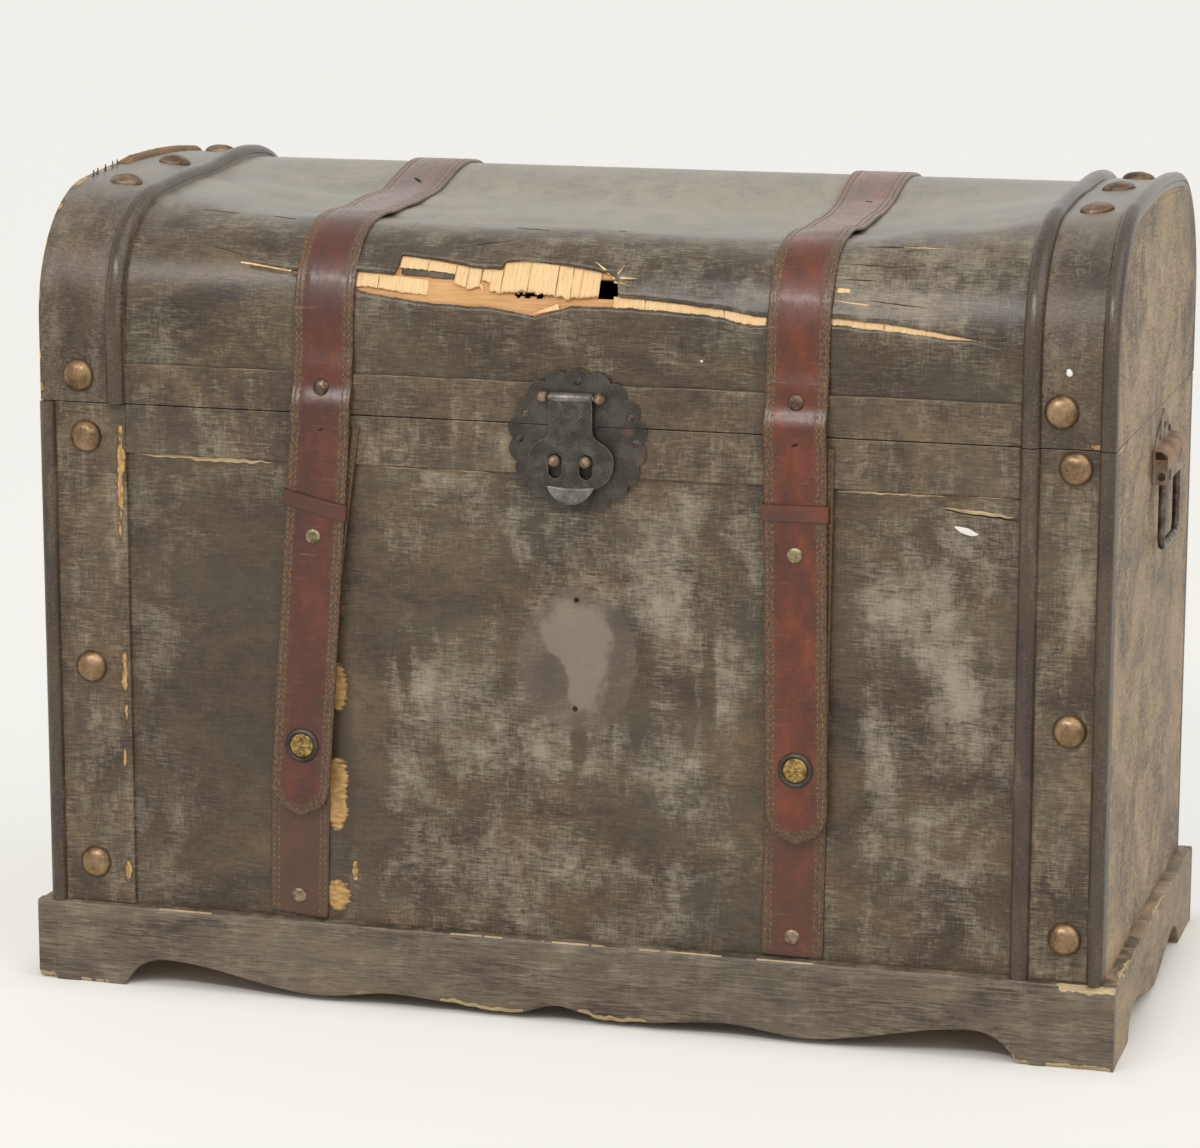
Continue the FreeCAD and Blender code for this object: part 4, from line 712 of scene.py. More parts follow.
def dress_boards():
    """Panels, bands, blocks and rails."""
    dress("front_panel", FRONT_PLY, BOARD_ROUND)
    dress("back_panel", PLY, BOARD_ROUND)
    for node in ("end_panel_left", "end_panel_right", "lid_end_left", "lid_end_right"):
        dress(node, END_PLY, BOARD_ROUND)
    for node in ("bottom_board", "corner_blocks", "lid_rails"):
        dress(node, INNER_WOOD, BOARD_ROUND)
    for node in ("case_band", "lid_band", "corner_band_left", "corner_band_right"):
        dress(node, TRIM, BAND_ROUND)


def dress_fittings():
    """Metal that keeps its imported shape."""
    for node in ("hasp_posts", "hasp_pin"):
        dress(node, PIN_BRONZE)
    for node in ("lock_brads_upper", "lock_brads_lower", "handle_brads"):
        dress(node, BAIL_IRON)
    for node in ("hinge_leaves_case", "hinge_leaves_lid"):
        dress(node, STEEL, HINGE_ROUND)
    for node in ("hinge_screws_case", "hinge_screws_lid", "hinge_pins"):
        dress(node, STEEL)
    for end in ("left", "right"):
        dress(f"handle_bracket_{end}", RUST, BRACKET_ROUND)
        dress(f"handle_bail_{end}", BAIL_IRON)
    dress("snap_studs", BRASS)


# Torn dome skin


# Edges of the tear along the front shoulder: X, then the height s along the profile
TEAR_HIGH = (
    (-246, 108), (-208, 103.3), (-166, 105), (-126, 103), (-124.5, 119), (-90, 115), (-66, 110.5), (-47, 110),
    (-45.5, 116), (-32, 117.5), (-4, 115.5), (33, 110), (40, 105), (41.5, 92.5), (61, 91.5), (87, 89.5),
    (117, 86.5), (145, 82.5), (201, 83.5), (234, 81), (263, 78), (277, 75.5), (298, 73), (320, 67))
TEAR_LOW = (
    (-246, 108), (-208, 102.6), (-166, 94), (-146, 88.5), (-104, 83.5), (-47, 81), (-30, 78.5), (-19, 76),
    (-9, 79), (6, 85), (36, 85), (67, 84.5), (107, 82), (118, 81), (126, 78), (138, 75.5), (147, 76.5),
    (201, 79), (234, 76), (263, 74.5), (279, 72), (298, 72), (320, 67))
TEAR_START, TEAR_END = TEAR_LOW[0][0], TEAR_LOW[-1][0]
# How far the upper and the lower lip of the tear stand out at most, and how far back along the skin
UPPER_LIP, UPPER_LIP_RUN = 2.6, 16
LOWER_LIP, LOWER_LIP_RUN = 0.7, 10
# Thickness of the face veneer, the inner plies and what is torn, and how deep the inner plies lie
VENEER_THICK, INNER_THICK, STRIP_THICK, SLIVER_THICK = 1.5, 3.0, 0.7, 0.9
INNER_DEPTH = 1.9


def torn_edges(x):
    """Lower and upper edge of the tear at x, ragged with broken fibres."""
    low, high = along(TEAR_LOW, x, False), along(TEAR_HIGH, x, False)
    open_share = min(1.0, (high - low) / 4)
    low += open_share * (0.7 * rough(2, x / 9) + 0.7 * rough(3, x / 2.2))
    high += open_share * (0.5 * rough(4, x / 12) + 0.4 * rough(5, x / 2.2))
    if high - low < 0.15 or not TEAR_START < x < TEAR_END:
        middle = (low + high) / 2
        return middle, middle
    return low, high


def lip(x, s, low, high):
    """How far the torn edges stand out of the dome."""
    if not TEAR_START < x < TEAR_END:
        return 0.0
    out = 0.0
    if s >= high:
        out += UPPER_LIP * ease(high + UPPER_LIP_RUN, high, s) * (0.6 + rough(6, x / 24))
    if s <= low:
        out += LOWER_LIP * ease(low - LOWER_LIP_RUN, low, s) * (0.6 + rough(7, x / 20))
    return out * min(1.0, (high - low) / 8)


def steps(start, end, step):
    """Even steps from start to end, both kept."""
    count = max(1, round(abs(end - start) / step))
    return [start + (end - start) * number / count for number in range(count + 1)]


def build_dome_skin():
    """The stained face veneer, split in two sheets where it is torn."""
    columns = steps(-HALF_WIDTH, TEAR_START, 4)[:-1] + steps(TEAR_START, TEAR_END, 1.4)
    columns += steps(TEAR_END, HALF_WIDTH, 4)[1:]
    lower_rows, upper_rows = 26, 150
    points, places = [], []
    for x in columns:
        low, high = torn_edges(x)
        run = [low * number / lower_rows for number in range(lower_rows + 1)]
        run += [high + (DOME_RUN - high) * number / upper_rows for number in range(upper_rows + 1)]
        for s in run:
            points.append(on_dome(x, s, lip(x, s, low, high)))
            places.append((x * MM, s * MM, 0.0))
    faces = sheet_faces(len(columns), lower_rows + upper_rows + 2, lambda c, r: r == lower_rows)
    skin = piece("dome_face_veneer", (points, faces), [DOME_PLY, RAW, DOME_PLY, DOME_TRIM], "lid",
                 "stained_ply", ("dome_skin",), closed=False, crease=50, maps={"ply_map": places})
    for face in skin.data.polygons:
        if abs(face.center.x) > (HALF_WIDTH - 4) * MM:
            face.material_index = 2
    thicken(skin, VENEER_THICK, 1, 2)


# Holes through the inner ply behind the tear: from x, to x, from s, to s
INNER_HOLES = ((24.5, 40, 90.5, 105), (-37, -15, 89.5, 92.5))
# Where the inner ply bulges into the tear: height, x and s of its middle
BULGE, BULGE_X, BULGE_S = 1.6, -80, 92


def build_inner_ply():
    """The inner plies of the dome, whole except behind the tear."""
    columns = steps(-HALF_WIDTH, -180, 10)[:-1] + steps(-180, 60, 1.5)[:-1] + steps(60, HALF_WIDTH, 8)
    run = steps(0, 70, 7)[:-1] + steps(70, 130, 1.5)[:-1] + steps(130, DOME_RUN, 8)
    points = []
    for x in columns:
        for s in run:
            bulge = BULGE * ease(40, 8, math.hypot((x - BULGE_X) / 1.3, (s - BULGE_S) * 2.2))
            points.append(on_dome(x, s, bulge - INNER_DEPTH))

    def in_hole(c, r):
        x, s = columns[c], run[r]
        ragged = 1.2 * rough(8, x / 3, s / 3)
        return any(x0 < x + ragged < x1 and s0 < s + ragged < s1 for x0, x1, s0, s1 in INNER_HOLES)

    ply = piece("dome_inner_ply", (points, sheet_faces(len(columns), len(run), in_hole)),
                [RAW_UNDER, INNER_WOOD, RAW_UNDER, END_PLY], "lid", "plain_wood", closed=False, crease=50)
    for face in ply.data.polygons:
        if abs(face.center.x) > (HALF_WIDTH - 10) * MM:
            face.material_index = 2
    thicken(ply, INNER_THICK, 1)


# Strips of torn cross-ply: from x, to x, top s at both, bottom s at both, how far top and bottom stand out
TORN_STRIPS = (
    (-168, -139, 105.5, 103.5, 94, 92.5, -0.6, 0.2), (-138.6, -101, 103.5, 100, 92, 88.5, -0.6, 0.4),
    (-124, -103, 119, 116.5, 108.5, 107.5, -0.7, 0.0), (-102.6, -81.5, 116.5, 113, 107, 105, -0.7, 0.1),
    (-81.2, -72, 113, 111.5, 98, 94.5, -0.6, 1.6), (-71.5, -62, 111.5, 110.5, 93.5, 96, -0.6, 2.2),
    (-61, -54, 110.5, 110, 101, 99, -0.6, 1.2), (-54.6, -46, 110.5, 110, 92.5, 91.5, -0.4, 1.8),
    (-45.4, -26, 117, 118, 92.5, 94, -0.2, 2.2), (-25.6, -5, 118, 116.5, 93.5, 91, -0.2, 2.6),
    (-4.6, 6, 116.5, 114.5, 90.5, 90, -0.2, 2.2), (6.3, 13, 114.5, 113.5, 90, 91, -0.2, 2.0),
    (13.2, 27, 113.5, 110.5, 91, 92, -0.3, 1.8),
    (38, 61, 93, 92, 84, 83.5, -0.6, -0.5), (61.2, 119, 92, 87, 83.5, 80, -0.6, -0.5),
    (119.4, 150, 87, 82.5, 79.5, 75, -0.5, -0.2), (194, 234, 84.5, 82, 78, 75, -0.6, -0.4),
    (234.3, 264, 82, 79, 75, 73.5, -0.6, -0.4), (264.2, 319, 79, 68, 73.5, 66, -0.6, -0.6),
    (199, 208, 105.5, 105, 102, 102.5, 0.15, 0.2), (198, 224, 96.5, 94, 95, 93, 0.15, 0.2),
    (197, 215, 88, 86.5, 85, 85, 0.15, 0.2), (-246, -206, 108.6, 104, 107.4, 102.2, 0.1, 0.15))
# A sliver of stained skin left between them, and its seed
SKIN_SLIVER, SLIVER_SEED = (-122, -82, 108, 105, 103.5, 101, 0.1, 0.3), 40


def strip_shell(number, strip):
    """One strip of veneer, its foot broken off in teeth."""
    x0, x1, top0, top1, foot0, foot1, top_out, foot_out = strip
    columns = steps(x0, x1, 1.1)
    rows = 9
    points = []
    for x in columns:
        share = (x - x0) / (x1 - x0)
        top = top0 + (top1 - top0) * share
        foot = foot0 + (foot1 - foot0) * share
        teeth = 0.06 * abs(top - foot) + 0.2
        foot += teeth * (1.2 * rough(20 + number, x / 4) + 0.9 * rough(50 + number, x / 1.6))
        for row in range(rows):
            down = row / (rows - 1)
            h = top_out + (foot_out - top_out) * down ** 1.6
            points.append(on_dome(x + 0.5 * rough(80 + number, down * 3), top + (foot - top) * down, h))
    faces = [face[::-1] for face in sheet_faces(len(columns), rows)]
    return points, faces


def build_torn_strips():
    """Cross-ply that shows in the tear, broken in strips, and a sliver of stained skin left between."""
    shells = [strip_shell(number, strip) for number, strip in enumerate(TORN_STRIPS)]
    strips = piece("torn_cross_ply", joined(shells), [RAW], "lid", "plain_wood", closed=False, crease=60)
    thicken(strips, STRIP_THICK)
    sliver = strip_shell(SLIVER_SEED, SKIN_SLIVER)
    places = [(point.x * MM, 0.1, 0.0) for point in sliver[0]]
    left_over = piece("torn_skin_sliver", sliver, [DOME_PLY], "lid", "stained_ply", closed=False, crease=60,
                      maps={"ply_map": places})
    thicken(left_over, SLIVER_THICK)


# Splinters that stand out of the tear's end: root x and s, tip x and s, width, how far the tip stands out
SPLINTERS = ((33, 110, 22, 117.5, 2.6, 3.0), (36, 106, 44, 115, 1.6, 4.0), (38, 107, 55, 105.5, 2.2, 3.5),
             (37, 103.5, 47, 101.5, 1.4, 2.5), (-62, 98, -58, 92, 2.0, 2.0), (-2, 84, -22, 77.5, 4.0, 0.8))


def build_splinters():
    """Slivers of veneer bent out of the tear."""
    shells = []
    for x0, s0, x1, s1, width, out in SPLINTERS:
        run = math.hypot(x1 - x0, s1 - s0)
        across_x, across_s = -(s1 - s0) / run, (x1 - x0) / run
        rings = []
        for number in range(7):
            share = number / 6
            half = width / 2 * (1 - share) + 0.12
            x, s = x0 + (x1 - x0) * share, s0 + (s1 - s0) * share
            h = 0.3 + out * share ** 1.5
            rings.append([on_dome(x + across_x * half, s + across_s * half, h),
                          on_dome(x, s, h + 0.4), on_dome(x - across_x * half, s - across_s * half, h),
                          on_dome(x, s, h - 0.4)])
        shells.append(loft(rings))
    piece("tear_splinters", joined(shells), [RAW], "lid", "plain_wood", crease=40)


# Cracks in the skin: from x and s, to x and s, widest opening
DOME_CRACKS = ((214, 147.5, 248, 145.5, 1.5), (206, 126, 241, 124, 0.9), (202, 112.5, 226, 112, 0.9),
               (191, 105.5, 199, 105.5, 1.2), (193, 96.3, 243, 91.5, 1.1), (221, 97, 263, 93.5, 0.8),
               (-235, 164.5, -216, 160, 1.6), (-290, 165, -262, 164, 0.5), (-270, 120.5, -246, 114.5, 0.6),
               (-48, 164, -22, 158.5, 2.0), (-70, 132.5, -50, 137.5, 1.3), (28, 166, 34, 165.5, 1.4))
# Threads of raw wood beside cracks, in the same way
RAW_THREADS = ((240, 145.6, 268, 144, 1.0), (199, 96, 222, 93.5, 1.6), (-232, 106.6, -208, 103, 0.6))


def sliver_shell(place, start, end, width, lift, thick=0.25, lanes=12):
    """A thin lens-shaped sliver laid along a surface from start to end."""
    run = math.hypot(end[0] - start[0], end[1] - start[1])
    across = (-(end[1] - start[1]) / run, (end[0] - start[0]) / run)
    rings = []
    for number in range(lanes + 1):
        share = number / lanes
        half = width / 2 * math.sin(math.pi * min(max(share, 0.02), 0.98)) ** 0.7
        a = start[0] + (end[0] - start[0]) * share
        b = start[1] + (end[1] - start[1]) * share + 0.5 * width * rough(9, a / 7)
        rings.append([place(a + across[0] * half, b + across[1] * half, lift),
                      place(a, b, lift + thick),
                      place(a - across[0] * half, b - across[1] * half, lift), place(a, b, lift - thick)])
    return loft(rings)


def build_dome_cracks():
    """Splits in the lid's skin, drawn as dark slivers of painted shadow, and threads of raw wood beside them.
    """
    for name, finish, slot, cracks, lift in (("dome_cracks", DARK, "stained_ply", DOME_CRACKS, 0.02),
                                             ("dome_raw_threads", RAW, "plain_wood", RAW_THREADS, 0.12)):
        shells = [sliver_shell(on_dome, (x0, s0), (x1, s1), width, lift) for x0, s0, x1, s1, width in cracks]
        piece(name, joined(shells), [finish], "lid", slot, crease=40)


# Bands and beads over the lid, beads on the case


def band_ring(place, inner, outer, along_place, seed):
    """Section of a thin board with worn edges, from its inner to its outer edge."""
    ring = [place(inner, along_place, 0.0), place(inner, along_place, BAND - 0.8)]
    for number in range(11):
        share = number / 10
        x = inner + 0.7 + (outer - inner - 1.4) * share
        ring.append(place(x, along_place, BAND + 0.15 * rough(seed, x / 15, along_place / 30)))
    ring += [place(outer, along_place, BAND - 0.8), place(outer, along_place, 0.0)]
    return ring


def dome_map(run, rings):
    """Place of each point of a bent board: across the lid and along its profile."""
    return {"ply_map": [(point.x * MM, s * MM, 0.0) for s, ring in zip(run, rings) for point in ring]}


def build_lid_bands():
    """Corner bands bent over the dome."""
    run = steps(0, DOME_RUN, 4)
    for end, side in (("left", -1), ("right", 1)):
        edges = sorted((side * BAND_INNER, side * HALF_WIDTH))
        rings = [band_ring(on_dome, edges[0], edges[1], s, 11) for s in run]
        piece(f"lid_corner_trim_{end}", loft(rings), [DOME_TRIM], "lid", "dark_trim",
              (f"lid_corner_band_{end}",), maps=dome_map(run, rings))


# Rise of the beads, then width and place of the inner and the outer ones
BEAD_RISE = 6.0
INNER_BEAD = (14.0, BAND_INNER + 7.0)
OUTER_BEAD = (12.0, HALF_WIDTH - 6.0)


def bead_ring(place, middle, width, along_place, seed):
    """Half-round section of a bead, a little dented."""
    ring = []
    for number in range(13):
        angle = math.pi * number / 12
        dent = 1 + 0.05 * rough(seed, along_place / 18, number / 5)
        ring.append(place(middle + width / 2 * math.cos(angle), along_place,
                          BAND + BEAD_RISE * dent * math.sin(angle)))
    return ring


def build_beads():
    """Half-round beads on the lid's and the case's corner bands."""
    run = steps(0, DOME_RUN, 3.5)
    heights = steps(SKIRT_TOP, CASE_TOP, 5)
    for kind, (width, middle) in (("inner", INNER_BEAD), ("outer", OUTER_BEAD)):
        for end, side in (("left", -1), ("right", 1)):
            if (kind, end) != ("outer", "left"):
                rings = [bead_ring(on_dome, side * middle, width, s, 12) for s in run]
                piece(f"bent_{kind}_bead_{end}", loft(rings), [DOME_BEAD], "lid", "dark_trim",
                      (f"lid_bead_{kind}_{end}",), maps=dome_map(run, rings))
            if (kind, end) != ("inner", "left"):
                rings = [bead_ring(on_front, side * middle, width, z, 13) for z in heights]
                piece(f"upright_{kind}_bead_{end}", loft(rings), [BEAD_TRIM], "case", "dark_trim",
                      (f"case_bead_{kind}_{end}",))


# Stub of the lid's lost left bead: where it starts and ends along the profile, half width and rise
STUB_START, STUB_END = 262, 424
STUB_HALF, STUB_RISE = 4.5, 4.2
# Tacks that held the rest of it: place from the left end and along the profile, radius, length, profile
TACK_X, TACK_PLACES = -394, (206, 214, 229, 243, 252)
TACK_RADIUS, TACK_LENGTH = 0.9, 4.6
TACK_PROFILE = ((0.5, 1.0), (0.7, 0.5), (1.0, 0.0))


def build_bead_stub():
    """What is left of the lid's lost bead at the back of the left edge, and the tacks that held the rest."""
    rings = []
    for s in steps(STUB_START, STUB_END, 3):
        taper = min(1.0, 0.35 + (s - STUB_START) / 30, 0.35 + (STUB_END - s) / 12)
        ring = []
        for number in range(9):
            angle = math.pi * number / 8
            rise = STUB_RISE * taper + 0.4 * rough(24, s / 6, number)
            ring.append(on_dome(-HALF_WIDTH + 5.5 + STUB_HALF * math.cos(angle), s,
                                BAND + rise * math.sin(angle)))
        rings.append(ring)
    piece("lid_bead_stub", loft(rings), [STUB_WOOD], "lid", "dark_trim", crease=50)
    tacks = [head_shell(lambda a, b, h: on_dome(TACK_X + a, s + b + 0.3 * h, BAND + h), TACK_RADIUS,
                        TACK_LENGTH, 25, TACK_PROFILE) for s in TACK_PLACES]
    piece("lid_bead_tacks", joined(tacks), [BAIL_IRON], "lid", "patinated_iron", crease=50)


# Dome nails, studs and rivets


def fan_faces(count, rings):
    """Faces from a middle point out over rings of count points."""
    faces = []
    for spoke in range(count):
        beside = (spoke + 1) % count
        faces.append((0, 1 + spoke, 1 + beside))
        for first in range(1, 1 + (rings - 1) * count, count):
            faces.append((first + spoke, first + count + spoke, first + count + beside, first + beside))
    return faces


# Quarter-round profile of a head from its middle to its rim: share of the radius, share of the rise
ROUND_PROFILE = [(math.sin(math.pi / 2 * number / 9), math.cos(math.pi / 2 * number / 9))
                 for number in range(1, 10)]


def head_shell(place, radius, rise, seed, profile=ROUND_PROFILE):
    """A domed head, hammered uneven; place gives a point from two offsets and a height."""
    count = 28
    points = [place(0.0, 0.0, rise)]
    for reach, height in profile:
        for spoke in range(count):
            angle = 2 * math.pi * spoke / count
            a, b = radius * reach * math.cos(angle), radius * reach * math.sin(angle)
            dent = 1 + 0.07 * rough(seed, a / 5, b / 5) * height
            points.append(place(a, b, rise * height * dent))
    return points, fan_faces(count, len(profile)) + [tuple(range(len(points) - count, len(points)))]


NAIL_RADIUS, NAIL_RISE, CROWN_NAIL_RISE = 12.25, 7.5, 5.5
# Nails on the case front, X and Z, on the lid's wall, X and along the profile, and along the crown
CASE_NAILS = ((-364.0, CASE_TOP - 25), (-364.0, 244.0), (-364.0, 93.0),
              (372.0, CASE_TOP - 13), (372.0, 244.0), (372.0, 93.0))
WALL_NAILS = ((-369.0, 19.5), (361.0, 25.5))
CROWN_NAIL_X = 367.0
CROWN_NAILS = (SHOULDER_END + 7.2, DOME_RUN / 2, CROWN_END - 7.2)


def build_dome_nails():
    """Large dome nails on the corner bands."""
    def nail(place, x, run, rise):
        return head_shell(lambda a, b, h: place(x + a, run + b, BAND + h), NAIL_RADIUS, rise, 14 + x + run)

    case_heads = [nail(on_front, x, z, NAIL_RISE) for x, z in CASE_NAILS]
    wall_heads = [nail(on_dome, x, s, NAIL_RISE) for x, s in WALL_NAILS]
    crown_heads = [nail(on_dome, side * CROWN_NAIL_X, s, CROWN_NAIL_RISE)
                   for side in (-1, 1) for s in CROWN_NAILS]
    piece("case_nail_heads", joined(case_heads), [NAIL_BRASS], "case", "aged_brass", ("case_dome_nails",),
          crease=50)
    piece("lid_nail_heads", joined(wall_heads), [NAIL_BRASS], "lid", "aged_brass", ("lid_dome_nails",),
          crease=50)
    piece("crown_nail_heads", joined(crown_heads), [CROWN_BRASS], "lid", "aged_brass", crease=50)


# Straps


# Half section of a strap from its middle to its edge: distance from the middle, share of the thickness
STRAP_SECTION = ((0, 1.03), (5, 1.03), (10, 1.0), (15.2, 0.98), (16.2, 0.83), (17, 0.96), (19.2, 0.95),
                 (20, 0.81), (20.7, 0.93), (21.8, 0.9), (22.5, 0.74), (23, 0.4), (22.7, 0.05))
STRAP_LANES = [-u for u, share in STRAP_SECTION[:0:-1]] + [u for u, share in STRAP_SECTION]
STITCH_LANES = (16.2, 20.0)
STITCH_STEP = 4.6
TIP_RADIUS = (STRAP_HALF ** 2 + FLAP_TIP ** 2) / (2 * FLAP_TIP)


def bridged(x, y):
    """How far stiff leather lies above the sunk skin, since it doesn't follow the shelf's front edge."""
    followed = ease(*LEATHER_FALL, y) * (1 - ease(*SHELF_RISE, y)) * along(SUNK_DEPTH, x)
    return max(0.0, sunk(x, y) - followed)


def leaning(x, place, lean):
    """A point of a strap turned about the middle of its fold line."""
    angle = math.radians(lean)
    across, down = place.x - x, place.z - FOLD_Z
    return Vector((x + across * math.cos(angle) + down * math.sin(angle), place.y,
                   FOLD_Z - across * math.sin(angle) + down * math.cos(angle)))


# How far the leather stands off the lid's band and how far it swells at the fold
BAND_STAND_OFF = 3.3
FOLD_SWELL = 2.4
# Height over which the lower strap climbs onto the rim band, and the length of its bow
LOWER_CLIMB = (96, RIM_FOOT - 8)
BOW_RUN = 380


def on_lid_strap(strap, s, u, h):
    """A point of the leather over the lid and of its flap: s along it, u across it, h out of its back."""
    stand_off = BAND_STAND_OFF * ease(50, 30, s) + (FLAP_STAND_OFF - BAND_STAND_OFF) * ease(27, 5, s)
    stand_off += FOLD_SWELL * ease(22, 4, s) * ease(-16, 1, s)
    if s > 0:
        place = on_dome(strap["x"] + u, s, h + stand_off)
        place.z += bridged(strap["x"], dome(s)[0])
    else:
        place = Vector((strap["x"] + u, FRONT - h - stand_off, SEAM + s))
    return leaning(strap["x"], place, strap["lean"] * ease(FOLD_Z - SEAM + 6, FOLD_Z - SEAM - 10, s))


def on_lower_strap(strap, s, u, h):
    """A point of the strap on the case front: s is the height above the seam, below zero."""
    z = SEAM + s
    rest = BAND * ease(*LOWER_CLIMB, z)
    bow = strap["bow"] * math.sin(math.pi * min(max((FOLD_Z - z) / BOW_RUN, 0), 1))
    x = strap["x"] + strap["lower_shift"] - bow
    return leaning(x, Vector((x + u, FRONT - h - rest, z)), strap["lower_lean"])


def strap_ring(place, s, half, thick):
    """Closed section of a strap at s."""
    outer = [(u * half / STRAP_HALF, share * thick) for u, share in STRAP_SECTION]
    right = [place(s, u, h + 0.12 * rough(16, s / 9, u / 6)) for u, h in outer]
    left = [place(s, -u, h + 0.12 * rough(16, s / 9, -u / 6)) for u, h in outer[:0:-1]]
    return left + right


def tip_middle(strap):
    """Place along the flap of the middle of its round tip."""
    return FOLD_Z - SEAM - strap["flap"] + TIP_RADIUS


def strap_half(strap, s):
    """Half width of the flap at s, round at its tip."""
    from_middle = tip_middle(strap) - s
    if from_middle <= TIP_RADIUS - FLAP_TIP:
        return STRAP_HALF
    return max(1.5, math.sqrt(max(TIP_RADIUS ** 2 - from_middle ** 2, 0.0)))


def stitch_shell(place, s, u, turn, h):
    """One stitch of thread in the strap's groove, at an angle to the strap's length."""
    half = STITCH_STEP * 0.39
    rings = []
    for share, swell in ((-1.0, 0.35), (-0.6, 0.9), (0.0, 1.0), (0.6, 0.9), (1.0, 0.35)):
        ring = []
        for lay in (0.3, 1.57, 2.84, 4.71):
            run, aside = half * share, 0.55 * swell * math.cos(lay)
            ring.append(place(s + run * math.cos(turn) - aside * math.sin(turn),
                              u + run * math.sin(turn) + aside * math.cos(turn),
                              h - 0.5 * share * share + 0.45 * swell * math.sin(lay)))
        rings.append(ring)
    return loft(rings)


def stitches(place, start, end, thick, tip=None):
    """Two rows of stitches along both edges of a strap, and round its tip where it has one."""
    shells = []
    for lane in STITCH_LANES:
        for s in steps(start, end, STITCH_STEP):
            shells += [stitch_shell(place, s, side * lane, 0.0, 0.9 * thick) for side in (-1, 1)]
        if tip is not None:
            reach = lane - STRAP_HALF + TIP_RADIUS
            for angle in steps(0.1, math.pi - 0.1, STITCH_STEP / reach):
                shells.append(stitch_shell(place, tip - reach * math.sin(angle), reach * math.cos(angle),
                                           -angle, 0.9 * thick))
    return shells


def strap_maps(run, dulled, strap=None):
    """For each point of a strap: its place and how dull it is, and its distance from the middle line."""
    places, edges = [], []
    for s in run:
        half = strap_half(strap, s) if strap else STRAP_HALF
        for lane in STRAP_LANES:
            u = lane * half / STRAP_HALF
            off = abs(u)
            if strap and s < tip_middle(strap):
                off = max(off, STRAP_HALF - TIP_RADIUS + math.hypot(u, tip_middle(strap) - s))
            places.append((u * MM, s * MM, dulled))
            edges.append((off * MM, 0.0, 0.0))
    return {"strap_map": places, "strap_edge": edges}


def build_lid_straps():
    """Leather from the lid's back edge over the dome and down into the flap, in one length."""
    for end, strap in STRAPS.items():
        tip = FOLD_Z - SEAM - strap["flap"]

        def place(s, u, h):
            return on_lid_strap(strap, s, u, h)

        run = [tip + 0.4, tip + 1.5, tip + 3, tip + 5, tip + 8, tip + 12, tip + 17]
        run += steps(tip + 22, -20, 5) + steps(-18, 60, 1.5) + steps(63, DOME_RUN - 6, 4)
        rings = [strap_ring(place, s, strap_half(strap, s), STRAP_THICK) for s in run]
        leather = piece(f"lid_strap_leather_{end}", loft(rings), [HIDES[end]], None, "red_leather",
                        (f"lid_strap_{end}", f"strap_flap_{end}"), crease=60,
                        maps=strap_maps(run, strap["dull"], strap))
        threads = stitches(place, tip_middle(strap), DOME_RUN - 12, STRAP_THICK, tip_middle(strap))
        thread = piece(f"lid_strap_stitches_{end}", joined(threads), [THREAD], None, "red_leather", crease=60)
        for part in (leather, thread):
            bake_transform(part)


# Slits in the leather, on the flap under the fold and on the crown: from u and s, to u and s, widest opening
FLAP_SLITS = {"left": ((-0.5, -12), (4, -9), 1.5), "right": ((-2, -7), (3, -3.6), 2.4)}
CROWN_SLITS = {"left": ((-4, 333), (5, 325), 3.0), "right": ((2, 320), (8, 317), 2.0)}


def build_strap_slits():
    """Short slits cut and torn in the leather, drawn as dark slivers of painted shadow."""
    for end, strap in STRAPS.items():
        for name, slits, body in ((f"flap_slit_{end}", FLAP_SLITS, f"flap_{end}"),
                                  (f"crown_slit_{end}", CROWN_SLITS, "lid")):
            start, stop, width = slits[end]
            slit = sliver_shell(lambda u, s, h: on_lid_strap(strap, s, u, 1.03 * STRAP_THICK + h),
                                start, stop, width, 0.08)
            piece(name, slit, [DARK], body, "red_leather", crease=40)


LOWER_TOP = CASE_TOP - 7 - SEAM
LOWER_FOOT = SKIRT_TOP + 2.2 - SEAM
LOWER_THICK = 2.5


def build_lower_straps():
    """Leather nailed to the case front under the flaps."""
    for end, strap in STRAPS.items():
        def place(s, u, h):
            return on_lower_strap(strap, s, u, h)

        run = steps(LOWER_FOOT, LOWER_TOP, 5)
        rings = [strap_ring(place, s, STRAP_HALF, LOWER_THICK) for s in run]
        piece(f"lower_strap_leather_{end}", loft(rings), [LEATHER], "case", "red_leather",
              (f"lower_strap_{end}",), crease=60, maps=strap_maps(run, strap["lower_dull"]))
        threads = stitches(place, LOWER_FOOT + 4, LOWER_TOP - 4, LOWER_THICK)
        piece(f"lower_strap_stitches_{end}", joined(threads), [THREAD], "case", "red_leather", crease=60)


KEEPER_HEIGHT, KEEPER_THICK, KEEPER_GAP = 12.0, 1.2, 0.35
KEEPER_CORNER, KEEPER_DULL = 1.0, 0.55


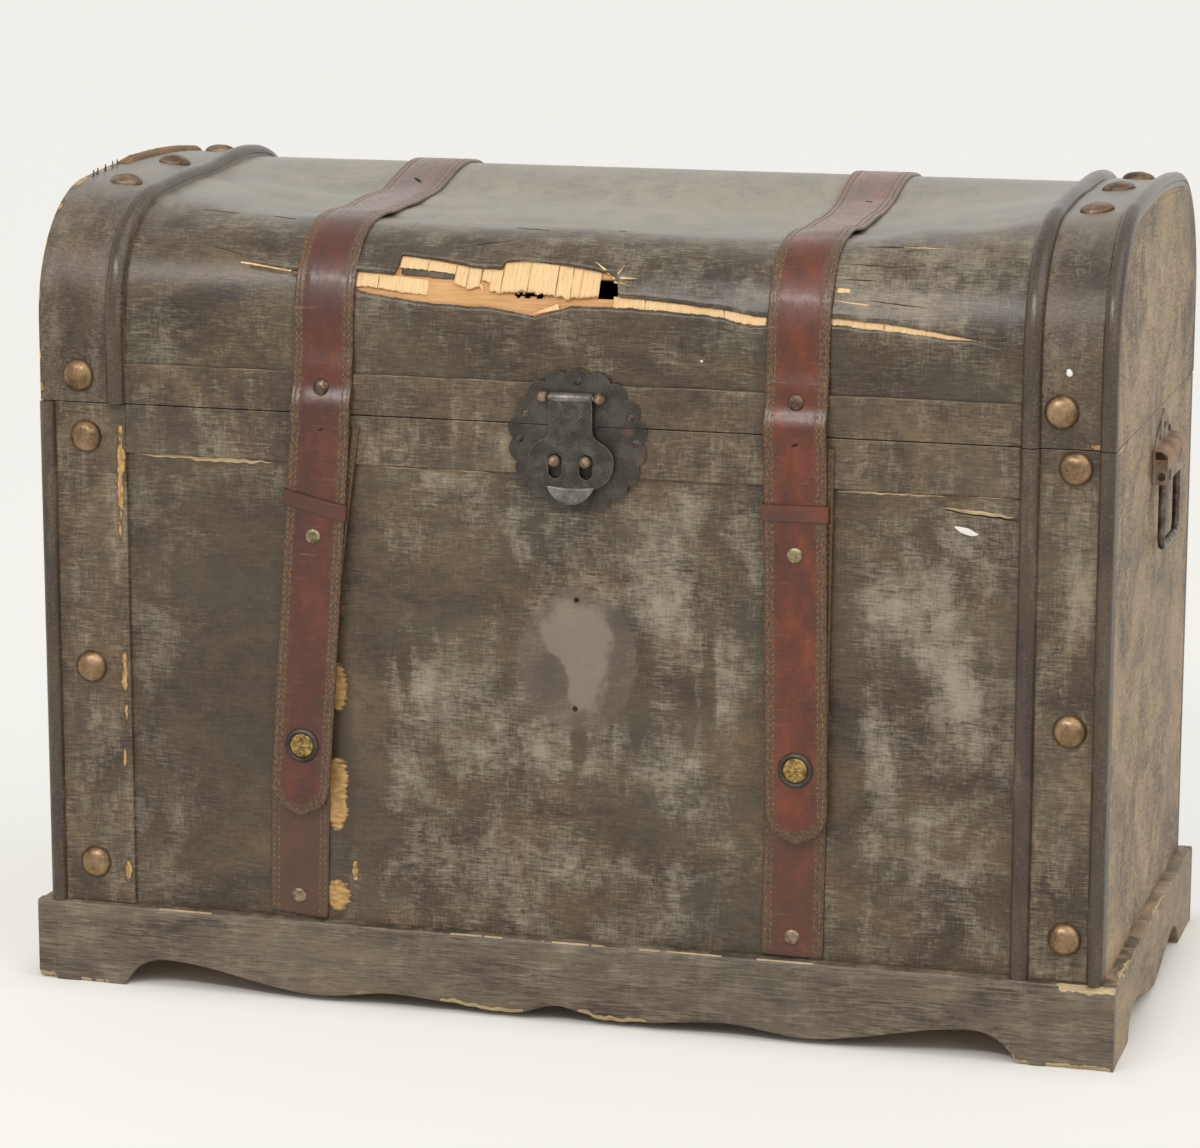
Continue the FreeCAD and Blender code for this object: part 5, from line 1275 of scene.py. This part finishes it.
def build_keepers():
    """Loops of thin leather that slide on the flaps."""
    half = STRAP_HALF + KEEPER_GAP
    back, front = -KEEPER_GAP, STRAP_THICK + KEEPER_GAP + 0.15
    path = []
    for u, h, start in ((half, front, 0), (-half, front, 90), (-half, back, 180), (half, back, 270)):
        for turn in (0, 30, 60, 90):
            angle = math.radians(start + turn)
            path.append((u - math.copysign(KEEPER_CORNER, u) + KEEPER_CORNER * math.cos(angle),
                         h - math.copysign(KEEPER_CORNER, h) + KEEPER_CORNER * math.sin(angle),
                         math.cos(angle), math.sin(angle)))
    tall = KEEPER_HEIGHT / 2
    section = ((-tall, 0.1), (-tall + 0.4, 0.9), (-tall + 1.4, 1.0), (0, 1.05), (tall - 1.4, 1.0),
               (tall - 0.4, 0.9), (tall, 0.1), (tall - 0.2, 0.0), (-tall + 0.2, 0.0))
    for end, strap in STRAPS.items():
        middle = FOLD_Z - SEAM - strap["keeper"] - KEEPER_HEIGHT / 2
        tilt = math.tan(math.radians(strap["tilt"]))
        rings, places = [], []
        for u, h, out_u, out_h in path + path[:1]:
            ring = []
            for up, out in section:
                s = middle + up - u * tilt
                ring.append(on_lid_strap(strap, s, u + out_u * out * KEEPER_THICK,
                                         h + out_h * out * KEEPER_THICK))
                places.append((u * 0.4 * MM, s * MM, KEEPER_DULL))
            rings.append(ring)
        piece(f"keeper_loop_{end}", loft(rings, capped=False), [HIDES[end]], f"keeper_{end}", "red_leather",
              (f"keeper_{end}",), crease=50, maps={"strap_map": places})


# Heads in the straps, radius and rise; the back nail sits a little in from the lid's back edge
STUD_RADIUS, STUD_RISE = 6.0, 3.0
RIVET_RISE, LOWER_RIVET_RISE = 2.4, 2.2
BACK_NAIL_RADIUS, BACK_NAIL_RISE, BACK_NAIL_IN = 3.0, 1.6, 20
LOWER_RIVET_S = SKIRT_TOP + 16 - SEAM
RIVET_PROFILE = ((0.3, 1.0), (0.6, 0.97), (0.8, 0.85), (0.94, 0.55), (1.0, 0.0))
# Snap cap: an iron ring round a brass rosette with a button and petals
SNAP_RADIUS, SNAP_RISE = 13.0, 2.6
SNAP_RING_PROFILE = ((0.69, 0.35), (0.75, 0.75), (0.83, 1.0), (0.92, 0.85), (0.98, 0.45), (1.0, 0.1))
ROSETTE_RISE = 2.2
ROSETTE_PROFILE = ((0.08, 0.85), (0.26, 0.72), (0.46, 0.8), (0.6, 0.95), (0.67, 0.8), (0.7, 0.4))
BUTTON_RADIUS = 1.7
PETALS, PETAL_OFF, PETAL_RADIUS, PETAL_RISE = 8, 4.7, 1.5, 2.4


def ring_shell(place, radius, rise, profile, ribs=0, depth=0.0):
    """A turned ring; ribs raise its rim in rays."""
    count = 48
    rings = []
    for spoke in range(count):
        angle = 2 * math.pi * spoke / count
        wave = 1 + depth * math.cos(ribs * angle)
        section = [(reach, rise * height * wave) for reach, height in profile]
        section += [(1.0, -0.2), (profile[0][0], -0.2)]
        rings.append([place(radius * reach * math.cos(angle), radius * reach * math.sin(angle), h)
                      for reach, h in section])
    return loft(rings + rings[:1], capped=False)


def build_strap_fittings():
    """Studs, rivets and snaps of both straps."""
    lid_studs, lower_rivets = [], []
    for end, strap in STRAPS.items():
        def on_leather(s, a, b, h):
            return on_lid_strap(strap, s + b, a, STRAP_THICK + h)

        def on_snap(a, b, h):
            return on_leather(FOLD_Z - SEAM - strap["snap"], a, b, h)

        lid_studs.append(head_shell(lambda a, b, h: on_leather(strap["stud"], a, b, h),
                                    STUD_RADIUS, STUD_RISE, 17))
        lid_studs.append(head_shell(lambda a, b, h: on_leather(DOME_RUN - BACK_NAIL_IN, a, b, h),
                                    BACK_NAIL_RADIUS, BACK_NAIL_RISE, 18))
        rivet_s = FOLD_Z - SEAM - strap["rivet"]
        rivet = head_shell(lambda a, b, h: on_leather(rivet_s, a, b, h), STUD_RADIUS, RIVET_RISE, 19,
                           RIVET_PROFILE)
        piece(f"flap_rivet_head_{end}", rivet, [RIVET_BRASS], f"flap_{end}", "aged_brass",
              (f"flap_rivet_{end}",), crease=50)
        ring = ring_shell(on_snap, SNAP_RADIUS, SNAP_RISE, SNAP_RING_PROFILE)
        piece(f"snap_ring_{end}", ring, [IRON], f"flap_{end}", "patinated_iron", (f"snap_cap_{end}",),
              crease=50)
        rosette = [ring_shell(on_snap, SNAP_RADIUS, ROSETTE_RISE, ROSETTE_PROFILE, PETALS, 0.14),
                   head_shell(on_snap, BUTTON_RADIUS, SNAP_RISE, 20)]
        for petal in range(PETALS):
            angle = 2 * math.pi * petal / PETALS
            a, b = PETAL_OFF * math.cos(angle), PETAL_OFF * math.sin(angle)
            rosette.append(head_shell(lambda c, d, h: on_snap(a + c, b + d, h), PETAL_RADIUS, PETAL_RISE, 20))
        piece(f"snap_rosette_{end}", joined(rosette), [BRASS], f"flap_{end}", "aged_brass", crease=60)
        lower_rivets.append(head_shell(
            lambda a, b, h: on_lower_strap(strap, LOWER_RIVET_S + b, a, LOWER_THICK + h),
            STUD_RADIUS, LOWER_RIVET_RISE, 21))
    piece("strap_stud_heads", joined(lid_studs), [COPPER], "lid", "aged_brass", ("strap_studs",), crease=50)
    piece("lower_rivet_heads", joined(lower_rivets), [PIN_BRONZE], "case", "aged_brass",
          ("lower_strap_rivets",), crease=50)


# Scalloped skirt


# Lower edge of the long and the short boards from the middle outwards: place and rise
LONG_SCALLOPS = ((0, 13), (37, 4), (127, 11), (185, 5), (308, 22))
SHORT_SCALLOPS = ((0, 5), (98, 22))
FOOT_COVE, FOOT_ARCH = 32.0, 22.0
COVE_RADIUS = (FOOT_COVE ** 2 + FOOT_ARCH ** 2) / (2 * FOOT_ARCH)


def skirt_foot(x, scallops):
    """Height of a skirt board's lower edge at x from its middle."""
    x = abs(x)
    arch, rise = scallops[-1]
    if x <= arch:
        return along(scallops, x)
    if x >= arch + FOOT_COVE:
        return 0.0
    return rise - COVE_RADIUS + math.sqrt(COVE_RADIUS ** 2 - (x - arch) ** 2)


# Chips along the top and the lower edge of the boards: middle, half length, depth
FRONT_TOP_CHIPS = ((-292, 30, 0.9), (-62, 28, 0.8), (10, 32, 0.9), (92, 44, 0.85), (170, 30, 0.8),
                   (388, 27, 2.6))
FRONT_FOOT_CHIPS = ((-404, 9, 4), (-366, 16, 1.5), (-58, 40, 2.6), (40, 31, 3.0), (343, 8, 2), (384, 30, 2.2))
END_TOP_CHIPS = ((-150, 30, 1.4), (20, 40, 1.2))
END_FOOT_CHIPS = ((-120, 12, 3),)
TOP_SEED, FOOT_SEED = 30, 33
# Lanes of a board's section that show raw wood on the lower edge, on a top chip and on a deep one
FOOT_LANES, TOP_LANES, DEEP_LANES = {2, 3, 4}, {13, 14}, {12, 13, 14}


def chip_depth(chips, x, seed):
    """How deep an edge is chipped at x."""
    depth = 0.0
    for middle, reach, deep in chips:
        bite = ease(reach, reach * 0.55, abs(x - middle + 3 * rough(seed, x / 11)))
        depth = max(depth, bite * deep * (0.75 + 0.5 * rough(seed + 1, x / 4)))
    return depth + 0.35 * (1 + rough(seed + 2, x / 6)) * 0.5


def skirt_ring(x, scallops, chips, place, thick):
    """Closed section of a skirt board at x, from the floor side of its back round to its front."""
    top = SKIRT_TOP - 0.3
    foot = skirt_foot(x, scallops)
    top_bite = chip_depth(chips[0], x, TOP_SEED)
    foot_bite = chip_depth(chips[1], x, FOOT_SEED)
    foot_face = thick - 0.5 - 0.9 * foot_bite if foot_bite < 4 else thick - 4
    ring = [place(x, foot + 0.2, 0.0), place(x, foot, 0.6), place(x, foot + 0.25 * foot_bite, foot_face),
            place(x, foot + 0.6 + foot_bite, thick - 0.25 * foot_bite)]
    low, high = foot + 1.2 + 1.3 * foot_bite, top - 1.2 - 1.8 * top_bite
    for number in range(9):
        z = low + (high - low) * number / 8
        ring.append(place(x, z, thick + 0.12 * rough(36, x / 25, z / 9)))
    ring += [place(x, top - 0.4 - 0.8 * top_bite, thick - 0.4 - 0.9 * top_bite),
             place(x, top - 0.1 * top_bite, thick - 1.0 - 1.6 * top_bite),
             place(x, top + 0.3, 2.0), place(x, top + 0.3, 0.0)]
    return ring


def build_skirts():
    """Scalloped boards round the foot of the case, with chipped edges that show raw wood."""
    thick = FRONT - SKIRT_FACE
    boards = {"front": (SKIRT_HALF, LONG_SCALLOPS, lambda x, z, h: Vector((x, FRONT - h, z))),
              "back": (SKIRT_HALF, LONG_SCALLOPS, lambda x, z, h: Vector((x, BACK + h, z))),
              "left": (BACK, SHORT_SCALLOPS, lambda x, z, h: Vector((-HALF_WIDTH - h, x, z))),
              "right": (BACK, SHORT_SCALLOPS, lambda x, z, h: Vector((HALF_WIDTH + h, x, z)))}
    for end, (half, scallops, place) in boards.items():
        if end in ("front", "back"):
            stain, chips = SKIRT_STAIN, (FRONT_TOP_CHIPS, FRONT_FOOT_CHIPS)
        else:
            stain, chips = SKIRT_END_STAIN, (END_TOP_CHIPS, END_FOOT_CHIPS)
        run = steps(-half + 0.2, half - 0.2, 2)
        rings = [skirt_ring(x, scallops, chips, place, thick - 0.2) for x in run]
        board = piece(f"scalloped_board_{end}", loft(rings), [stain, CHIP], "case", "skirt_wood",
                      (f"skirt_{end}",), crease=50)
        count = len(rings[0])
        for face in board.data.polygons:
            if len(face.vertices) > 4:
                continue
            lanes = {corner % count for corner in face.vertices}
            x = run[min(face.vertices) // count]
            depth = chip_depth(chips[0], x, TOP_SEED)
            on_top = depth > 0.6 and lanes <= (DEEP_LANES if depth > 1.5 else TOP_LANES)
            on_foot = lanes <= FOOT_LANES and chip_depth(chips[1], x, FOOT_SEED) > 1.0
            if on_top or on_foot:
                face.material_index = 1


# Scars on the case front


def hole_shell(number, middle_x, middle_z, half_x, half_z, h):
    """A small uneven mound on the front: a nail hole's dark mouth of painted shadow, or a fleck."""
    count = 36
    points = [on_front(middle_x, middle_z, h + 0.35)]
    for reach, height in ((0.7, 0.3), (1.0, 0.0)):
        for spoke in range(count):
            angle = 2 * math.pi * spoke / count
            uneven = 1 + 0.35 * rough(60 + number, 2 * math.cos(angle) + number, 2 * math.sin(angle))
            uneven += 0.25 * rough(70 + number, 6 * math.cos(angle), 6 * math.sin(angle))
            points.append(on_front(middle_x + half_x * reach * uneven * math.cos(angle),
                                   middle_z + half_z * reach * uneven * math.sin(angle), h + height))
    return points, fan_faces(count, 2)


def on_end(y, z, h=0.0):
    """A point on the right end, h out of it."""
    return Vector((HALF_WIDTH + h, y, z))


def on_lid_edge(s, depth, h=0.0):
    """A point on the right end of the lid, a depth in from the dome."""
    return on_end(*dome(s, -depth), h)


# Nail holes of the lost badge: number, X, Z and radius
BADGE_HOLES = ((40, 12.3, 316.2, 2.0), (41, 11.3, 235.5, 2.0))
# Raw edges under the case's rim: from X, to X, drop under it and width
RIM_EDGES = ((-329, -262, 1.2, 2.2), (-296, -219, 1.9, 3.4), (-153, -100, 0.9, 1.2), (-96, -48, 0.9, 1.4),
             (201, 248, 1.3, 2.0), (232, 284, 1.2, 1.7), (296, 332, 0.7, 1.0))
# Raw spots at the top of the right end: from Y and Z, to Y and Z, width
END_EDGES = (((-188, 441.6), (-166, 442.4), 2.6), ((-176, 441), (-158, 443), 3.4))
# Pale lines on top of the lid's rim, worn bare and partly a painted highlight where the top edge catches the
# light: from X, to X
LID_RIM_WEAR_AND_GLINT = ((-330, -262), (-258, -206), (-150, -92), (-84, -40), (64, 140), (200, 300))
# Raw edges of the lid's right end: from s and depth, to s and depth, width
LID_END_EDGES = (((150, 2.6), (190, 2.2), 2.4), ((60, 3.0), (86, 2.4), 2.0), ((96, 3.4), (104, 6.4), 1.2))


def build_scars():
    """Two small nail holes and a split, their dark insides painted shadow, raw edges of the rims, partly
    painted highlight along the lid's rim, and flecks of paint.
    """
    holes = [hole_shell(number, x, z, radius, radius, 0.0) for number, x, z, radius in BADGE_HOLES]
    # The nail holes' dark mouths are painted shadow
    piece("badge_nail_holes", joined(holes), [DARK], "case", "stained_ply", closed=False, crease=60)
    # The split's dark inside is a sliver of painted shadow
    split = sliver_shell(on_front, (281, RIM_FOOT - 11.2), (331, RIM_FOOT - 16.2), 1.9, 0.1, 0.25, 30)
    piece("front_split", split, [DARK], "case", "stained_ply", crease=40)
    fleck = sliver_shell(on_front, (287, RIM_FOOT - 22.6), (304, RIM_FOOT - 27.6), 4.6, 0.1, 0.4, 20)
    piece("front_paint_fleck", fleck, [PAINT_FLECK], "case", "stained_ply", crease=60)
    edge = [sliver_shell(on_front, (start, RIM_FOOT - drop), (end, RIM_FOOT - drop - 0.4), width, 0.4, 0.4,
                         40)
            for start, end, drop, width in RIM_EDGES]
    edge.append(sliver_shell(on_front, (278, RIM_FOOT - 9.6), (331, RIM_FOOT - 14.4), 2.6, 0.3, 0.5, 30))
    edge += [sliver_shell(on_end, start, end, width, 0.1) for start, end, width in END_EDGES]
    piece("rim_raw_edge", joined(edge), [CHIP], "case", "plain_wood", crease=60)
    # Along the lid's rim the pale line is partly painted highlight on its top edge
    lid_edge = [sliver_shell(on_front, (start, LID_RIM_TOP), (end, LID_RIM_TOP), 0.7, BAND - 0.5, 0.4, 30)
                for start, end in LID_RIM_WEAR_AND_GLINT]
    lid_edge += [sliver_shell(on_lid_edge, start, end, width, 0.05, 0.2)
                 for start, end, width in LID_END_EDGES]
    piece("lid_raw_edge_and_glint", joined(lid_edge), [RIM_EDGE], "lid", "plain_wood", crease=60)
    flecks = [hole_shell(50, 365.5, SEAM + 53, 2.2, 2.6, BAND),
              hole_shell(51, 104, SEAM + 49.5, 1.0, 0.8, 0.0)]
    piece("paint_flecks", joined(flecks), [PAINT_FLECK], "lid", "dark_trim", closed=False, crease=60)


# Lock plate and hasp


LOCK_MIDDLE = (middle_x("lock_plate_upper"), SEAM - 11)
LOBES, LOBE_POINTS = 18, 12
PLATE_RADIUS, LOBE_RISE = 48.2, 3.8
PLATE_ROUND, HASP_ROUND = 0.35, 0.3
HASP_FACE = PLATE_FACE - 6.0
HASP_THICK = 2.0
HASP_MIDDLE = (LOCK_X, corners("hasp")[0].z + 32)
PIN_Z = SEAM + 20.5
# Right half of the hasp's outline from the barrel down to the thumb lip, from the middle of its round leaf
HASP_OUTLINE = (
    (16, 44), (16, 22), (16.5, 18.6), (18.4, 15.4), (21.5, 13.5), (25.3, 11.4), (28.6, 8.4), (31, 4.4),
    (32, 0), (31.5, -6.2), (29.8, -11.2), (27.2, -14.9), (23.6, -17.8), (20.2, -19.4), (17.4, -20.2))
# Two upright slots in the leaf: distance from the middle, drop, radius and half of their straight length
SLOT_OFF, SLOT_DROP, SLOT_RADIUS, SLOT_STRAIGHT = 11.5, 5, 5, 4
# Barrel round the pin from one end of its bore to the other: place across and radius
BARREL_PROFILE = ((-16, 2.15), (-16, 3.3), (-15.6, 3.65), (-9, 3.7), (0, 3.62), (9, 3.7), (15.6, 3.65),
                  (16, 3.3), (16, 2.15))
# Thumb lip: half width, radius and lowest point of its round foot, and its thickness
LIP_HALF, LIP_RADIUS, LIP_FOOT, LIP_THICK = 17.6, 18.4, -32, 1.6


def cut_sheet(outline, holes, face, thick):
    """Points and faces of flat sheet metal cut to an outline, with holes."""
    loops = [outline] + holes
    flat = [place for loop in loops for place in loop]
    count = len(flat)
    points = [Vector((x, face, z)) for x, z in flat] + [Vector((x, face + thick, z)) for x, z in flat]
    faces = []
    for triangle in geometry.tessellate_polygon([[Vector((x, z, 0)) for x, z in loop] for loop in loops]):
        faces.append(tuple(triangle))
        faces.append(tuple(count + corner for corner in triangle))
    start = 0
    for loop in loops:
        for number in range(len(loop)):
            first, beside = start + number, start + (number + 1) % len(loop)
            faces.append((first, beside, count + beside, count + first))
        start += len(loop)
    return points, faces


def build_lock_plate():
    """Both halves of the scalloped round plate, their edges rubbed bright."""
    rim = []
    for number in range(LOBES * LOBE_POINTS):
        angle = 2 * math.pi * number / (LOBES * LOBE_POINTS)
        off = 2 * abs((number / LOBE_POINTS) % 1 - 0.5)
        reach = PLATE_RADIUS + LOBE_RISE * off * (2 - off)
        reach += 0.5 * rough(23, 3 * math.cos(angle), 3 * math.sin(angle))
        rim.append((LOCK_MIDDLE[0] + reach * math.sin(angle), LOCK_MIDDLE[1] + reach * math.cos(angle)))
    for half, body, cut, keep in (("upper", "lid", SEAM, 1), ("lower", "case", CASE_TOP, -1)):
        outline = [place for place in rim if (place[1] - cut) * keep > 0.4]
        gap = max(range(len(outline)), key=lambda n: math.dist(outline[n - 1], outline[n]))
        outline = outline[gap:] + outline[:gap]
        outline = [(outline[0][0], cut)] + outline + [(outline[-1][0], cut)]
        sheet = cut_sheet(outline, [], PLATE_FACE, -BAND + FRONT - PLATE_FACE)
        plate = piece(f"scalloped_plate_{half}", sheet, [IRON, WORN_IRON], body, "patinated_iron",
                      (f"lock_plate_{half}",))
        round_edges(plate, PLATE_ROUND, 1)


def build_hasp():
    """The hasp: a waisted leaf with two slots, its barrel, its turned-out tip and a few chased lines."""
    x0, z0 = HASP_MIDDLE
    outline = [(x0 + x, z0 + z) for x, z in HASP_OUTLINE] + [(x0 - x, z0 + z) for x, z in HASP_OUTLINE[::-1]]
    slots = []
    for middle in (-SLOT_OFF, SLOT_OFF):
        slot = []
        for turn in steps(0, 2 * math.pi, math.pi / 16)[:-1]:
            straight = SLOT_STRAIGHT if turn <= math.pi else -SLOT_STRAIGHT
            slot.append((x0 + middle + SLOT_RADIUS * math.cos(turn),
                         z0 - SLOT_DROP + SLOT_RADIUS * math.sin(turn) + straight))
        slots.append(slot)
    leaf = piece("hasp_leaf", cut_sheet(outline, slots, HASP_FACE, HASP_THICK), [HASP_IRON, WORN_IRON],
                 "hasp", "patinated_iron", ("hasp",))
    round_edges(leaf, HASP_ROUND, 1)

    rings = []
    for turn in steps(0, 2 * math.pi, math.pi / 12):
        flat = 1 - 0.03 * math.cos(3 * turn)
        rings.append([Vector((x0 + x, HASP_FACE + HASP_THICK + reach * flat * math.cos(turn),
                              PIN_Z + reach * flat * math.sin(turn))) for x, reach in BARREL_PROFILE])
    piece("hasp_barrel", loft(rings, capped=False), [WORN_IRON], "hasp", "patinated_iron", crease=40)

    columns, rows = steps(-LIP_HALF, LIP_HALF, 1.1), 7
    points = []
    for x in columns:
        top = -19.4 - 0.8 * math.cos(math.pi * x / (2 * LIP_HALF))
        foot = min(LIP_FOOT + LIP_RADIUS - math.sqrt(LIP_RADIUS ** 2 - x * x), top - 0.2)
        for row in range(rows):
            z = foot + (top - foot) * row / (rows - 1)
            out = 0.25 + 0.012 * (top - z) ** 2 + 0.1 * (top - z)
            points.append(Vector((x0 + x, HASP_FACE - out, z0 + z)))
    lip_sheet = piece("hasp_thumb_lip", (points, sheet_faces(len(columns), rows)), [WORN_IRON], "hasp",
                      "patinated_iron", closed=False, crease=50)
    thicken(lip_sheet, LIP_THICK)
    lines = []
    for side in (-1, 1):
        for number in range(5):
            z = z0 + 28.5 + 2.2 * number
            lines.append(sliver_shell(lambda a, b, h: Vector((a, HASP_FACE - h, b)), (x0 + side * 3.5, z),
                                      (x0 + side * 11, z + 5), 0.5, 0.0, 0.12, 6))
    piece("hasp_chasing", joined(lines), [WORN_IRON], "hasp", "patinated_iron", crease=40)


# Studio: a pale floor, soft light from the upper right and the photo's camera


# Width of the edge between the floor under the trunk and the open floor, and most of the open floor's glow
FLOOR_EDGE, FLOOR_GLOW = (-0.02, 0.04), 0.5
# Strength of the white surroundings as light and as they are seen
AMBIENT, BACKDROP = 0.62, 1.0
# Soft key light: energy, apparent size and turn in degrees
KEY_ENERGY, KEY_SIZE, KEY_TURN = 0.9, 60, (38, 0, 52)
# Strip over the front, which draws the sheen along the straps: energy, size, place and aim in metres
STRIP_ENERGY, STRIP_SIZE = 30, (2.2, 0.2)
STRIP_PLACE, STRIP_AIM = (-0.58, -2.4, 2.25), (0.0, -0.1, 0.5)
# Camera: place in metres, turn in degrees, lens and sensor in millimetres
CAMERA_PLACE, CAMERA_TURN = (0.810, -2.938, 0.919), (90 - 11.53, -0.09, 15.87)
LENS, SENSOR = 121.9, 36


def seen_by_camera(tree):
    """1 for what the camera sees straight, in a shine or through something, and 0 for light."""
    ray = add(tree, "ShaderNodeLightPath")
    seen = ray["Is Camera Ray"]
    for kind in ("Is Glossy Ray", "Is Transmission Ray"):
        seen = add(tree, "ShaderNodeMath", {0: seen, 1: ray[kind]}, operation="MAXIMUM")[0]
    return seen


def lay_floor():
    """Pale painted floor, which glows a little beside the trunk, so that it is seen white."""
    bpy.ops.mesh.primitive_circle_add(vertices=64, radius=40, fill_type="NGON")
    floor = bpy.context.object
    floor.name = "studio_floor"
    finish, tree, shader = new_finish("studio_floor_paint")
    wire(tree, shader, {"Base Color": paint("#f4f1e9"), "Roughness": 0.9})
    glow = add(tree, "ShaderNodeEmission", {"Color": paint("#fffffb"), "Strength": 1.0})[0]
    place = add(tree, "ShaderNodeTexCoord")["Object"]
    place = add(tree, "ShaderNodeVectorMath", {0: place}, operation="ABSOLUTE")[0]
    footprint = (SKIRT_HALF * MM, -SKIRT_FACE * MM, 0.0)
    beyond = add(tree, "ShaderNodeVectorMath", {0: place, 1: footprint}, operation="SUBTRACT")[0]
    beyond = add(tree, "ShaderNodeSeparateXYZ", {0: beyond})
    away = add(tree, "ShaderNodeMath", {0: beyond[0], 1: beyond[1]}, operation="MAXIMUM")[0]
    inputs = {0: away, 1: FLOOR_EDGE[0], 2: FLOOR_EDGE[1], 3: 0.0, 4: FLOOR_GLOW}
    open_floor = add(tree, "ShaderNodeMapRange", inputs, interpolation_type="SMOOTHSTEP")[0]
    share = add(tree, "ShaderNodeMath", {0: seen_by_camera(tree), 1: open_floor}, operation="MULTIPLY")[0]
    lit = add(tree, "ShaderNodeMixShader", {0: share, 1: shader.outputs[0], 2: glow})[0]
    wire(tree, tree.nodes["Material Output"], {"Surface": lit})
    floor.data.materials.append(finish)
    floor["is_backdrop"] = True


def light_studio():
    """White surroundings, a soft key light and a strip over the front."""
    scene.world = bpy.data.worlds.new("studio")
    scene.world.use_nodes = True
    tree = scene.world.node_tree
    inputs = {0: seen_by_camera(tree), 1: 0.0, 2: 1.0, 3: AMBIENT, 4: BACKDROP}
    level = add(tree, "ShaderNodeMapRange", inputs)[0]
    wire(tree, tree.nodes["Background"], {"Color": paint("#f7f7f4"), "Strength": level})

    lamp = bpy.data.lights.new("soft_key", "SUN")
    lamp.energy = KEY_ENERGY
    lamp.angle = math.radians(KEY_SIZE)
    key = bpy.data.objects.new("soft_key", lamp)
    key.rotation_euler = [math.radians(turn) for turn in KEY_TURN]
    scene.collection.objects.link(key)

    strip = bpy.data.lights.new("overhead_strip", "AREA")
    strip.shape = "RECTANGLE"
    strip.size, strip.size_y = STRIP_SIZE
    strip.energy = STRIP_ENERGY
    overhead = bpy.data.objects.new("overhead_strip", strip)
    overhead.location = STRIP_PLACE
    aim = Vector(STRIP_AIM) - overhead.location
    overhead.rotation_euler = aim.to_track_quat("-Z", "Y").to_euler()
    scene.collection.objects.link(overhead)


def place_camera():
    """The camera at the photo's viewing angle."""
    lens = bpy.data.cameras.new("photo_camera")
    lens.sensor_fit = "HORIZONTAL"
    lens.sensor_width = SENSOR
    lens.lens = LENS
    camera = bpy.data.objects.new("photo_camera", lens)
    camera.location = CAMERA_PLACE
    camera.rotation_euler = [math.radians(turn) for turn in CAMERA_TURN]
    scene.collection.objects.link(camera)
    scene.camera = camera
    scene.view_settings.view_transform = "Standard"


dress_boards()
dress_fittings()
build_dome_skin()
build_inner_ply()
build_torn_strips()
build_splinters()
build_dome_cracks()
build_lid_bands()
build_beads()
build_dome_nails()
build_bead_stub()
build_lid_straps()
build_strap_slits()
build_lower_straps()
build_keepers()
build_strap_fittings()
build_skirts()
build_scars()
build_lock_plate()
build_hasp()
lay_floor()
light_studio()
place_camera()

boxes = {"cad": cad_box, "visual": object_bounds()}
{name: [list(corner) for corner in box] for name, box in boxes.items()}
